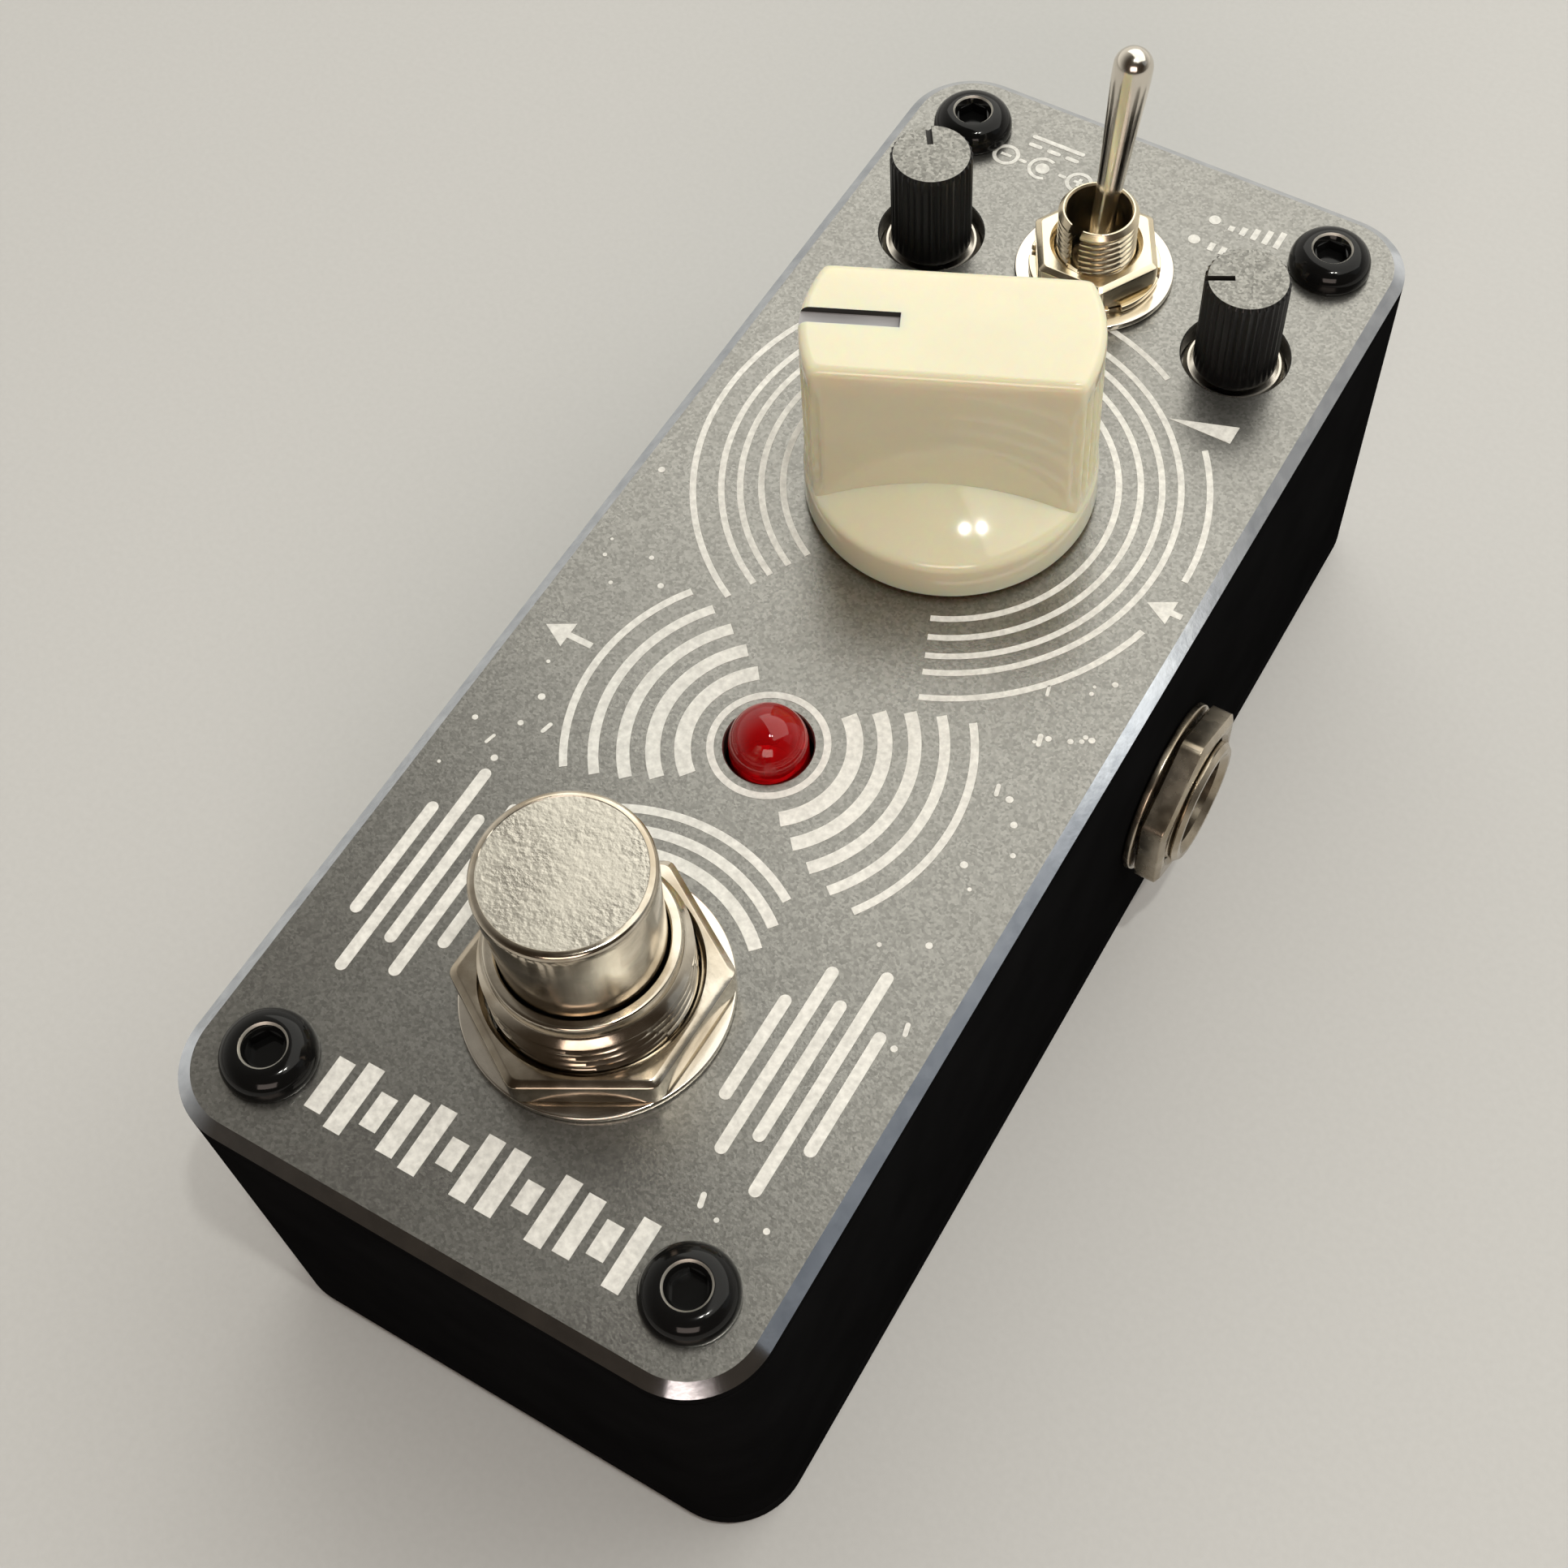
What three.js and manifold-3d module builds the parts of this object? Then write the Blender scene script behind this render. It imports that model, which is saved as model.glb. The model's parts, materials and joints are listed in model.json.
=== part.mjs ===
// Mini guitar effect pedal (stompbox): an extruded case closed by a top plate and a base plate,
// with three potentiometers, a toggle switch, a foot switch, a lamp, two audio jacks and a DC socket.
// Units are millimetres. +X is the player's right, +Y the rear, +Z up, and Z = 0 is the floor.

import * as THREE from 'three';
import { mergeVertices } from 'three/addons/utils/BufferGeometryUtils.js';
import Module from 'manifold-3d';

const wasm = await Module();
wasm.setup();

// ---------------------------------------------------------------- driving dimensions

const WIDTH = 38;
const LENGTH = 93;
const CORNER = 5;
const WALL = 2;
const FOOT_HEIGHT = 1.2;
const BASE_THICKNESS = 1.5;
const PLATE_THICKNESS = 1.5;
const PLATE_TOP = 31;
const SEAM = 0.1; // air left where two flat faces meet
const FIT = 0.15; // air round a bush, shaft or pin in its hole

// where the fasteners and controls sit, seen from above
const SCREW = { x: 13.85, y: 41.2 };
const FOOT = { x: 12, y: 32 };
const MAIN_POT_Y = 12.6;
const SMALL_POT = { x: 11.6, y: 31 };
const TOGGLE_Y = 33;
const LAMP_Y = -10.2;
const STOMP_Y = -28.9;
const INPUT_Y = 7.8;
const OUTPUT_Y = -9;
const JACK_Z = 15;

// directions of the pointers and the lever at rest, in degrees
const MAIN_POINTER = 204; // counterclockwise from +X
const LEFT_POINTER = 124;
const RIGHT_POINTER = 208;
const LEVER_LEAN = 13.2; // towards the rear

// levels worked out from the above
const BASE_BOTTOM = FOOT_HEIGHT + SEAM;
const BASE_TOP = BASE_BOTTOM + BASE_THICKNESS;
const CASE_BOTTOM = BASE_TOP + SEAM;
const PLATE_BOTTOM = PLATE_TOP - PLATE_THICKNESS;
const CASE_TOP = PLATE_BOTTOM - SEAM;
const CASE_SIDE = WIDTH / 2;
const CASE_END = LENGTH / 2;

// heights below are measured from the top plate's upper face
const UNDER_PLATE = -PLATE_THICKNESS;
const BOARD_TOP = -8.4;
const BOARD_THICKNESS = 1.5;

// number of sides on round faces
const COARSE = 12;
const MEDIUM = 20;
const FINE = 32;

// ---------------------------------------------------------------- solid helpers

const degrees = THREE.MathUtils.degToRad;

// Welds a geometry's corners, drops slivers and turns its faces outwards.
function toSolid(geometry) {
  const bare = geometry.clone();
  bare.deleteAttribute('normal');
  bare.deleteAttribute('uv');
  const welded = mergeVertices(bare, 1e-4);
  const corners = welded.attributes.position.array;
  const at = (i) => new THREE.Vector3().fromArray(corners, 3 * i);
  const faces = [];
  let volume = 0;
  for (let i = 0; i < welded.index.count; i += 3) {
    const [a, b, c] = [0, 1, 2].map((k) => welded.index.getX(i + k));
    if (a === b || b === c || c === a) continue;
    faces.push([a, b, c]);
    volume += at(a).dot(at(b).cross(at(c)));
  }
  const outward = volume < 0 ? faces.map(([a, b, c]) => [a, c, b]) : faces;
  const triVerts = new Uint32Array(outward.flat());
  const vertProperties = new Float32Array(corners);
  return new wasm.Manifold(new wasm.Mesh({ numProp: 3, vertProperties, triVerts }));
}

function toGeometry(solid) {
  const mesh = solid.getMesh();
  const geometry = new THREE.BufferGeometry();
  geometry.setAttribute('position', new THREE.BufferAttribute(new Float32Array(mesh.vertProperties), 3));
  geometry.setIndex(new THREE.BufferAttribute(new Uint32Array(mesh.triVerts), 1));
  geometry.computeVertexNormals();
  return geometry;
}

const join = (first, ...others) =>
  toGeometry(others.reduce((sum, other) => sum.add(toSolid(other)), toSolid(first)));
const cut = (first, ...tools) =>
  toGeometry(tools.reduce((rest, tool) => rest.subtract(toSolid(tool)), toSolid(first)));
const common = (first, second) => toGeometry(toSolid(first).intersect(toSolid(second)));

// A round bar along Z.
function rod(radius, low, high, sides = MEDIUM) {
  const bar = new THREE.CylinderGeometry(radius, radius, high - low, sides).rotateX(Math.PI / 2);
  return bar.translate(0, 0, (low + high) / 2);
}

// A hexagonal bar along Z, by its size across flats; the first corner points along +X before turning.
function hexBar(acrossFlats, low, high, turn = 0) {
  return rod(acrossFlats / Math.sqrt(3), low, high, 6).rotateZ(degrees(turn) + Math.PI / 2);
}

// A shape turned about Z from [radius, height] points.
function lathe(points, sides = MEDIUM) {
  const profile = points.map(([radius, height]) => new THREE.Vector2(radius, height));
  return new THREE.LatheGeometry(profile, sides).rotateX(Math.PI / 2);
}

function ring(inner, outer, low, high, sides = MEDIUM) {
  const section = [[inner, low], [outer, low], [outer, high], [inner, high], [inner, low]];
  return lathe(section, sides);
}

function block(xSize, ySize, low, high, x = 0, y = 0) {
  return new THREE.BoxGeometry(xSize, ySize, high - low).translate(x, y, (low + high) / 2);
}

function roundedRectangle(width, length, radius) {
  const [x, y] = [width / 2 - radius, length / 2 - radius];
  const outline = new THREE.Shape();
  outline.absarc(x, y, radius, 0, Math.PI / 2);
  outline.absarc(-x, y, radius, Math.PI / 2, Math.PI);
  outline.absarc(-x, -y, radius, Math.PI, 1.5 * Math.PI);
  outline.absarc(x, -y, radius, 1.5 * Math.PI, 2 * Math.PI);
  return outline;
}

function slab(outline, low, high) {
  const settings = { depth: high - low, bevelEnabled: false, curveSegments: 7 };
  return new THREE.ExtrudeGeometry(outline, settings).translate(0, 0, low);
}

const corners = [
  { name: 'front_left', x: -1, y: -1 },
  { name: 'front_right', x: 1, y: -1 },
  { name: 'rear_left', x: -1, y: 1 },
  { name: 'rear_right', x: 1, y: 1 },
];

// ---------------------------------------------------------------- materials

function finish(color, roughness, metalness) {
  return new THREE.MeshStandardMaterial({ color, roughness, metalness });
}

const caseBlack = finish(0x17171a, 0.55, 0.3);
const plateBlack = finish(0x3a3a3d, 0.5, 0.6);
const screwBlack = finish(0x101012, 0.25, 0.8);
const nickel = finish(0xc9c4b8, 0.22, 1);
const steel = finish(0x9a9a9c, 0.35, 1);
const cream = finish(0xece3c0, 0.22, 0);
const knobBlack = finish(0x151515, 0.55, 0);
const rubberBlack = finish(0x1a1a1a, 0.9, 0);
const lampRed = finish(0x9c0a12, 0.08, 0);
const boardGreen = finish(0x1f5a34, 0.5, 0);
const plasticBlack = finish(0x18181a, 0.45, 0);
const sleeveBlue = finish(0x23345c, 0.4, 0);
const ribbonGrey = finish(0x8c8f92, 0.6, 0);
const brass = finish(0xc79a45, 0.3, 1);

// ---------------------------------------------------------------- case

const BOSS_RADIUS = 3.6;
const THREAD_HOLE = 1.65; // M3 screws pass with a little air
const JACK_HOLE = 4.7;
const SOCKET_HOLE = 5.1;

const upright = (geometry, x, y) => geometry.translate(x, y, 0);
const sideways = (geometry, x, y, z) => geometry.rotateY(Math.PI / 2).translate(x, y, z);
const rearward = (geometry, x, y, z) => geometry.rotateX(-Math.PI / 2).translate(x, y, z);

function enclosure() {
  const outside = slab(roundedRectangle(WIDTH, LENGTH, CORNER), CASE_BOTTOM, CASE_TOP);
  const room = roundedRectangle(WIDTH - 2 * WALL, LENGTH - 2 * WALL, CORNER - WALL);
  const tube = cut(outside, slab(room, CASE_BOTTOM - 1, CASE_TOP + 1));
  const place = (geometry, corner) => upright(geometry, corner.x * SCREW.x, corner.y * SCREW.y);
  const bosses = corners.map((corner) => place(rod(BOSS_RADIUS, CASE_BOTTOM, CASE_TOP, COARSE), corner));
  const holes = corners.map((corner) => place(rod(THREAD_HOLE, 0, PLATE_TOP, COARSE), corner));
  return cut(
    join(tube, ...bosses),
    ...holes,
    sideways(rod(JACK_HOLE, -WALL, WALL), CASE_SIDE, INPUT_Y, JACK_Z),
    sideways(rod(JACK_HOLE, -WALL, WALL), -CASE_SIDE, OUTPUT_Y, JACK_Z),
    rearward(rod(SOCKET_HOLE, -WALL - 0.5, WALL), 0, CASE_END, JACK_Z),
  );
}

const EDGE_WIDTH = 0.8; // the bright chamfer round the top plate
const EDGE_DROP = 0.5;
const SMALL_BUSH_HOLE = 3.65;
const TOGGLE_HOLE = 2.85;
const LAMP_HOLE = 2.75;
const STOMP_HOLE = 6.1;
const SCREW_HOLE = 1.7;

function topPlate() {
  const outline = roundedRectangle(WIDTH, LENGTH, CORNER);
  const settings = {
    depth: PLATE_THICKNESS,
    bevelEnabled: true,
    bevelSegments: 1,
    bevelSize: EDGE_WIDTH,
    bevelOffset: -EDGE_WIDTH,
    bevelThickness: EDGE_DROP,
    curveSegments: 7,
  };
  const bevelled = new THREE.ExtrudeGeometry(outline, settings);
  bevelled.translate(0, 0, PLATE_TOP - PLATE_THICKNESS - EDGE_DROP);
  const plate = common(bevelled, block(2 * WIDTH, 2 * LENGTH, PLATE_BOTTOM, PLATE_TOP + 1));
  const hole = (radius, x, y, sides) => upright(rod(radius, 0, 2 * PLATE_TOP, sides), x, y);
  return cut(
    plate,
    hole(SMALL_BUSH_HOLE, 0, MAIN_POT_Y),
    hole(SMALL_BUSH_HOLE, -SMALL_POT.x, SMALL_POT.y),
    hole(SMALL_BUSH_HOLE, SMALL_POT.x, SMALL_POT.y),
    hole(TOGGLE_HOLE, 0, TOGGLE_Y),
    hole(LAMP_HOLE, 0, LAMP_Y),
    hole(STOMP_HOLE, 0, STOMP_Y),
    ...corners.map((corner) => hole(SCREW_HOLE, corner.x * SCREW.x, corner.y * SCREW.y, COARSE)),
  );
}

const SCREW_RADIUS = 1.5;
const BASE_HEAD = { radius: 2.75, depth: 1.3 };

function basePlate() {
  const plate = slab(roundedRectangle(WIDTH, LENGTH, CORNER), BASE_BOTTOM, BASE_TOP);
  const sinks = corners.map((corner) => {
    const radius = BASE_HEAD.radius + 2 * SEAM;
    const waist = THREAD_HOLE;
    const sink = [[0, 0], [radius, 0], [radius, BASE_BOTTOM], [waist, BASE_BOTTOM + BASE_HEAD.depth]];
    const tool = lathe([...sink, [waist, PLATE_TOP], [0, PLATE_TOP]], COARSE);
    return upright(tool, corner.x * SCREW.x, corner.y * SCREW.y);
  });
  return cut(plate, ...sinks);
}

// Button-head M3 screw with a hexagon socket; local Z = 0 is under the head.
function buttonScrew() {
  const head = { radius: 2.8, height: 1.65, flat: 1.7 };
  const rise = (t) => [
    head.flat + (head.radius - head.flat) * Math.cos(t),
    0.25 + (head.height - 0.25) * Math.sin(t),
  ];
  const dome = [0, 1, 2].map((i) => rise((i / 3) * (Math.PI / 2)));
  const profile = [[0, -8], [SCREW_RADIUS - 0.3, -8], [SCREW_RADIUS, -7.6], [SCREW_RADIUS, 0]];
  profile.push([head.radius, 0], ...dome, [head.flat, head.height], [0, head.height]);
  return cut(lathe(profile, COARSE + 4), hexBar(2, 0.45, head.height + 1));
}

// Countersunk M3 screw for the base, head down; local Z = 0 is the face of the head.
function countersunkScrew() {
  const profile = [[0, 0], [BASE_HEAD.radius, 0], [SCREW_RADIUS, BASE_HEAD.depth]];
  profile.push([SCREW_RADIUS, 7.6], [SCREW_RADIUS - 0.3, 8], [0, 8]);
  return cut(lathe(profile, COARSE), hexBar(2, -1, 0.9));
}

function rubberFoot() {
  return lathe([[0, 0], [3.7, 0], [4, 0.3], [4, FOOT_HEIGHT], [0, FOOT_HEIGHT]], COARSE + 4);
}

// ---------------------------------------------------------------- controls, from the plate's top face

const BUSH_RADIUS = 3.5;
const SMALL_BUSH_RADIUS = 3.4;
const SHAFT_RADIUS = 3;
const SMALL_SHAFT_RADIUS = 1.5;
const POT_TOP = -2;

// A potentiometer that stands on the board: a flat box and its round bush, bored for the shaft.
function potentiometer(bushRadius, shaftRadius, bushTop, boxSize) {
  const box = block(boxSize, boxSize + 1.5, BOARD_TOP + SEAM, POT_TOP, 0, -0.75);
  const bore = rod(shaftRadius + FIT, -5.5, bushTop + 1, COARSE + 4);
  return cut(join(box, rod(bushRadius, POT_TOP - 1, bushTop)), bore);
}

function flattedShaft(radius, low, high) {
  const flat = block(2 * radius, 2 * radius, high - 6, high + 1, 0, 1.5 * radius);
  return cut(rod(radius, low, high, COARSE + 4), flat);
}

const NUT_LEVEL = 0.7;
const MAIN_BUSH_TOP = 3.2;
const MAIN_SHAFT_TOP = 10;

const KNOB = { radius: 9.45, topRadius: 9.2, bottom: 0.4, top: 15, skirt: 3.2, barWidth: 9.2 };
const KNOB_TOP_WIDTH = 8.6;
const KNOB_EDGE = 0.8;

// The skirt swells from its rim towards the grip bar.
function knobDome() {
  const rim = KNOB.radius - 0.05;
  const lift = (r) => KNOB.skirt + (2.2 * (rim ** 2 - r ** 2)) / (rim ** 2 - (KNOB.barWidth / 2) ** 2);
  const crown = [rim, 8, 6.2, 4.2, 2, 0].map((r) => [r, lift(r)]);
  return lathe([[0, KNOB.bottom], [KNOB.radius, KNOB.bottom], ...crown], FINE);
}

// The grip bar, cut out of the knob's full round body; its length runs along local X.
function knobBar() {
  const edgeStart = KNOB.top - KNOB_EDGE;
  const rounding = [0, 1, 2, 3].map((i) => {
    const t = (i / 3) * (Math.PI / 2);
    const inset = KNOB_EDGE * (1 - Math.cos(t));
    return [KNOB.topRadius - inset, edgeStart + KNOB_EDGE * Math.sin(t)];
  });
  const body = lathe([[0, KNOB.bottom], [KNOB.radius, KNOB.bottom], ...rounding, [0, KNOB.top]], FINE);
  const section = new THREE.Shape();
  const [low, high] = [KNOB.barWidth / 2, KNOB_TOP_WIDTH / 2];
  section.moveTo(-low, KNOB.bottom);
  section.lineTo(low, KNOB.bottom);
  section.lineTo(high, edgeStart);
  section.absarc(high - KNOB_EDGE, edgeStart, KNOB_EDGE, 0, Math.PI / 2);
  section.absarc(KNOB_EDGE - high, edgeStart, KNOB_EDGE, Math.PI / 2, Math.PI);
  section.lineTo(-low, KNOB.bottom);
  const length = 3 * KNOB.radius;
  const settings = { depth: length, bevelEnabled: false, curveSegments: 4 };
  const beam = new THREE.ExtrudeGeometry(section, settings).translate(0, 0, -length / 2);
  beam.rotateX(Math.PI / 2).rotateZ(Math.PI / 2);
  return common(body, beam);
}

function mainKnob() {
  const underside = [[0, 0], [7.4, 0], [7.4, 2.9], [4.4, 2.9], [4.4, 3.8], [SHAFT_RADIUS + FIT, 3.8]];
  underside.push([SHAFT_RADIUS + FIT, MAIN_SHAFT_TOP + 0.3], [0, MAIN_SHAFT_TOP + 0.3]);
  const pointer = block(7, 1.1, KNOB.top - 0.6, KNOB.top + 1, 6.6, 0);
  return cut(join(knobDome(), knobBar()), lathe(underside), pointer);
}

const SMALL_KNOB = { radius: 2.8, bottom: -0.5, top: 7.3, flutes: 20, fluteDepth: 0.12 };

function smallKnob() {
  const outline = new THREE.Shape();
  const { radius, flutes, fluteDepth } = SMALL_KNOB;
  for (let i = 0; i < 2 * flutes; i += 1) {
    const reach = radius - (i % 2) * fluteDepth;
    const angle = (i * Math.PI) / flutes;
    const [x, y] = [reach * Math.cos(angle), reach * Math.sin(angle)];
    if (i === 0) outline.moveTo(x, y);
    else outline.lineTo(x, y);
  }
  const body = slab(outline, SMALL_KNOB.bottom, SMALL_KNOB.top);
  const bore = rod(SMALL_SHAFT_RADIUS + FIT, SMALL_KNOB.bottom - 1, 5.6, COARSE);
  const pointer = block(2.2, 0.5, SMALL_KNOB.top - 0.5, SMALL_KNOB.top + 1, 2.2, 0);
  return cut(body, bore, pointer);
}

// ---------------------------------------------------------------- toggle switch

const TOGGLE = { bushRadius: 2.7, boreRadius: 2.2, bushTop: 6.1, pivot: 0.9, bodyTop: -3.2 };

function toggleBody() {
  const box = block(6.8, 8.2, BOARD_TOP + SEAM, TOGGLE.bodyTop);
  const pins = [-2.5, 0, 2.5].map((y) => block(0.9, 0.5, BOARD_TOP - 2.6, BOARD_TOP + 1, 0, y));
  return join(box, ...pins);
}

function toggleBush() {
  const { bushRadius, boreRadius, bushTop, bodyTop } = TOGGLE;
  const shoulder = UNDER_PLATE - SEAM;
  const flange = [[boreRadius, bodyTop + SEAM], [3.8, bodyTop + SEAM], [3.8, shoulder]];
  const edge = 0.25;
  const sleeve = [[bushRadius, shoulder], [bushRadius, bushTop - edge], [bushRadius - edge, bushTop]];
  const tube = lathe([...flange, ...sleeve, [boreRadius, bushTop], flange[0]]);
  const keyway = block(1, 1.4, 0.5, bushTop + 1, 0, -bushRadius).rotateZ(degrees(-4));
  return cut(tube, keyway);
}

function toggleLockWasher() {
  const notches = [0, 1, 2, 3, 4, 5].map((i) => {
    return block(1.1, 0.9, 0, 3, 4.4, 0).rotateZ(degrees(60 * i + 15));
  });
  return cut(ring(TOGGLE.bushRadius + FIT, 4.5, 0.65, 1.1), ...notches);
}

// A hexagon nut with bevels along its flats; the first corner points along +X before turning.
function hexNut(acrossFlats, bore, low, high, turn = 0) {
  const [bevel, rim] = [0.45, 0.25];
  const reach = acrossFlats / Math.sqrt(3);
  const lower = [[0, low], [reach - bevel, low], [reach, low + rim]];
  const profile = [...lower, [reach, high - rim], [reach - bevel, high], [0, high]];
  const body = lathe(profile, 6).rotateZ(degrees(turn) + Math.PI / 2);
  return cut(body, rod(bore, low - 1, high + 1, COARSE + 4));
}

// The bat lever; local Z = 0 is its pivot.
function toggleLever() {
  const tip = { radius: 1.3, height: 16.3 };
  const cap = [0, 1, 2, 3, 4].map((i) => {
    const t = (i / 4) * (Math.PI / 2);
    return [tip.radius * Math.cos(t), tip.height - tip.radius + tip.radius * Math.sin(t)];
  });
  const ball = [[0, -2.6], [0.7, -2.4], [0.8, -1.6], [1.6, -0.9], [1.9, 0], [1.6, 0.9], [0.85, 1.5]];
  return lathe([...ball, [0.85, 5.4], [1.05, 9.5], ...cap], COARSE);
}

// ---------------------------------------------------------------- foot switch

const STOMP = { bushRadius: 5.95, bore: 4.8, thread: 5.6, collar: 7, stem: 4.6, cap: 4.95, top: 14.6 };
const SWITCH_BODY = { size: 17.4, top: -4.3, bottom: -18.2, well: 4.2, floor: -11.5 };
const LUG = 1.8; // length of the nine soldering lugs

function footswitchBody() {
  const { size, top, bottom, well, floor } = SWITCH_BODY;
  const lug = (x, y) => block(2.2, 0.8, bottom - LUG, bottom + 1, x, y);
  const lugs = [-5, 0, 5].flatMap((x) => [-5, 0, 5].map((y) => lug(x, y)));
  return cut(join(block(size, size, bottom, top), ...lugs), rod(well, floor, top + 1));
}

function footswitchBush() {
  const { bushRadius, bore, thread, collar } = STOMP;
  const start = SWITCH_BODY.top + SEAM;
  const rim = 5.45;
  const tube = [[bore, start], [bushRadius, start], [bushRadius, thread], [rim + 0.05, thread + 0.25]];
  return lathe([...tube, [rim, collar - 0.25], [rim - 0.25, collar], [bore, collar], [bore, start]], FINE);
}

// Cap and plunger in one turned piece; its slight taper leaves room in the bush for the travel.
function footswitchCap() {
  const { stem, cap, collar, top } = STOMP;
  const edge = 0.4;
  const side = [[0, -1], [4, -1], [4, 0.5], [stem, 1.2], [stem, collar], [cap, top - edge]];
  return lathe([...side, [cap - 0.12, top - 0.12], [cap - edge, top], [0, top]], FINE);
}

function footswitchSpring() {
  const [low, high, turns, radius] = [SWITCH_BODY.floor + 0.5, -1.5, 5, 3.3];
  const section = new THREE.Shape();
  section.absarc(0, 0, 0.35, 0, 2 * Math.PI);
  class Helix extends THREE.Curve {
    getPoint(t, target = new THREE.Vector3()) {
      const angle = 2 * Math.PI * turns * t;
      return target.set(radius * Math.cos(angle), radius * Math.sin(angle), low + (high - low) * t);
    }
  }
  const settings = { steps: 10 * turns, extrudePath: new Helix(), curveSegments: 3 };
  return new THREE.ExtrudeGeometry(section, settings);
}

// ---------------------------------------------------------------- lamp

// A 5 mm round lamp with its flange and two legs down to the board.
function lamp() {
  const [radius, flange, dome] = [2.45, 2.9, 0.25];
  const cap = [0, 1, 2, 3].map((i) => {
    const t = (i / 3) * (Math.PI / 2);
    return [radius * Math.cos(t), dome + radius * Math.sin(t)];
  });
  const lens = lathe([[0, -6], [flange, -6], [flange, -5], [radius, -5], ...cap]);
  const legs = [-1.27, 1.27].map((x) => block(0.5, 0.5, BOARD_TOP + SEAM, -5.5, x, 0));
  return join(lens, ...legs);
}

// ---------------------------------------------------------------- jacks, local Z runs out of the side

const JACK = { housing: 16.8, back: -9.5, bore: 3.4, bush: 4.4, bushBore: 3.25, bushEnd: 22.2 };

function jackHousing() {
  const { housing, back, bore } = JACK;
  const box = block(11.2, 10.8, back, housing);
  const contactSlot = block(8, 3.4, -6.5, 6.5, -4, 0);
  return cut(box, rod(bore, back + 1, housing + 1), contactSlot);
}

// The tip spring lies in the slot over the bore and dips towards the plug's tip.
function jackContact() {
  const strip = new THREE.Shape();
  const inner = [[-5.2, -6], [-5.2, -3.5], [-2.7, -0.5], [-4.4, 6]];
  const outer = [[-4.8, 6], [-3.3, -0.5], [-5.6, -3.2], [-5.6, -6]];
  strip.setFromPoints([...inner, ...outer].map(([height, along]) => new THREE.Vector2(height, along)));
  const blade = new THREE.ExtrudeGeometry(strip, { depth: 2.4, bevelEnabled: false });
  return blade.translate(0, 0, -1.2).rotateX(Math.PI / 2);
}

function jackBush() {
  const { housing, bush, bushBore, bushEnd } = JACK;
  const start = housing + SEAM;
  const outside = [[bushBore, start], [bush, start], [bush, bushEnd - 0.3], [bush - 0.3, bushEnd]];
  return lathe([...outside, [bushBore + 0.4, bushEnd], [bushBore, bushEnd - 0.4], [bushBore, start]]);
}

// ---------------------------------------------------------------- DC socket, local Z runs to the rear

const SOCKET = { back: 33, face: 44.3, front: 46.35, barrel: 4.9, bore: 2.95, floor: 37, pin: 1.05 };

function socketBody() {
  const { back, face, front, barrel, bore, floor, pin } = SOCKET;
  const shell = join(block(9.4, 10, back, face), rod(barrel, face - 1, front));
  return cut(shell, rod(bore, floor, front + 1, COARSE + 4), rod(pin + FIT, back + 1, floor + 1, COARSE));
}

function socketPin() {
  const { back, front, pin } = SOCKET;
  const end = front - 1;
  return lathe([[0, back + 1.2], [pin, back + 1.2], [pin, end - 0.5], [pin - 0.5, end], [0, end]], COARSE);
}

// ---------------------------------------------------------------- boards and what they carry

function mainBoard() {
  const [front, rear] = [-19, 36.4];
  const low = PLATE_TOP + BOARD_TOP - BOARD_THICKNESS;
  const board = block(32.4, rear - front, low, PLATE_TOP + BOARD_TOP, 0, (front + rear) / 2);
  const pinHoles = [-2.5, 0, 2.5].map((y) => upright(rod(0.75, 0, PLATE_TOP, 12), 0, TOGGLE_Y + y));
  return cut(board, ...pinHoles);
}

const SWITCH_BOARD_TOP = PLATE_TOP + SWITCH_BODY.bottom - LUG - SEAM;

function switchBoard() {
  const [front, rear] = [STOMP_Y - SWITCH_BODY.size / 2, -15];
  const low = SWITCH_BOARD_TOP - BOARD_THICKNESS;
  return block(20, rear - front, low, SWITCH_BOARD_TOP, 0, (front + rear) / 2);
}

function ribbonCable() {
  const start = PLATE_TOP + BOARD_TOP - BOARD_THICKNESS - 3 * SEAM;
  const end = SWITCH_BOARD_TOP + 3 * SEAM;
  const middle = (start + end) / 2;
  const points = [[-17, start], [-17, start - 1], [-17.4, middle], [-17, end + 1], [-17, end]];
  const path = new THREE.CatmullRomCurve3(points.map(([y, z]) => new THREE.Vector3(0, y, z)));
  const section = new THREE.Shape();
  const [halfWidth, halfThickness] = [4, 0.4];
  section.moveTo(-halfWidth, -halfThickness);
  section.lineTo(halfWidth, -halfThickness);
  section.lineTo(halfWidth, halfThickness);
  section.lineTo(-halfWidth, halfThickness);
  return new THREE.ExtrudeGeometry(section, { steps: 10, extrudePath: path });
}

// An eight-legged amplifier chip standing on the board.
function amplifierChip() {
  const legs = [-3.81, -1.27, 1.27, 3.81].flatMap((y) => {
    return [-3.6, 3.6].map((x) => block(1, 0.6, SEAM, 2.2, x, y));
  });
  return join(block(6.4, 9.6, 0.5, 3.7), ...legs);
}

function capacitor() {
  return lathe([[0, SEAM], [2.5, SEAM], [2.5, 5], [2.2, 5.4], [0, 5.4]], COARSE);
}

// ---------------------------------------------------------------- assembly

const pedal = new THREE.Group();

function groupAt(x, y, z) {
  const group = new THREE.Group();
  group.position.set(x, y, z);
  pedal.add(group);
  return group;
}

function add(parent, name, geometry, material, place = {}) {
  const mesh = new THREE.Mesh(toGeometry(toSolid(geometry)), material);
  mesh.name = name;
  mesh.position.set(place.x ?? 0, place.y ?? 0, place.z ?? 0);
  mesh.rotation.set(degrees(place.lean ?? 0), 0, degrees(place.turn ?? 0));
  parent.add(mesh);
}

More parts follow.
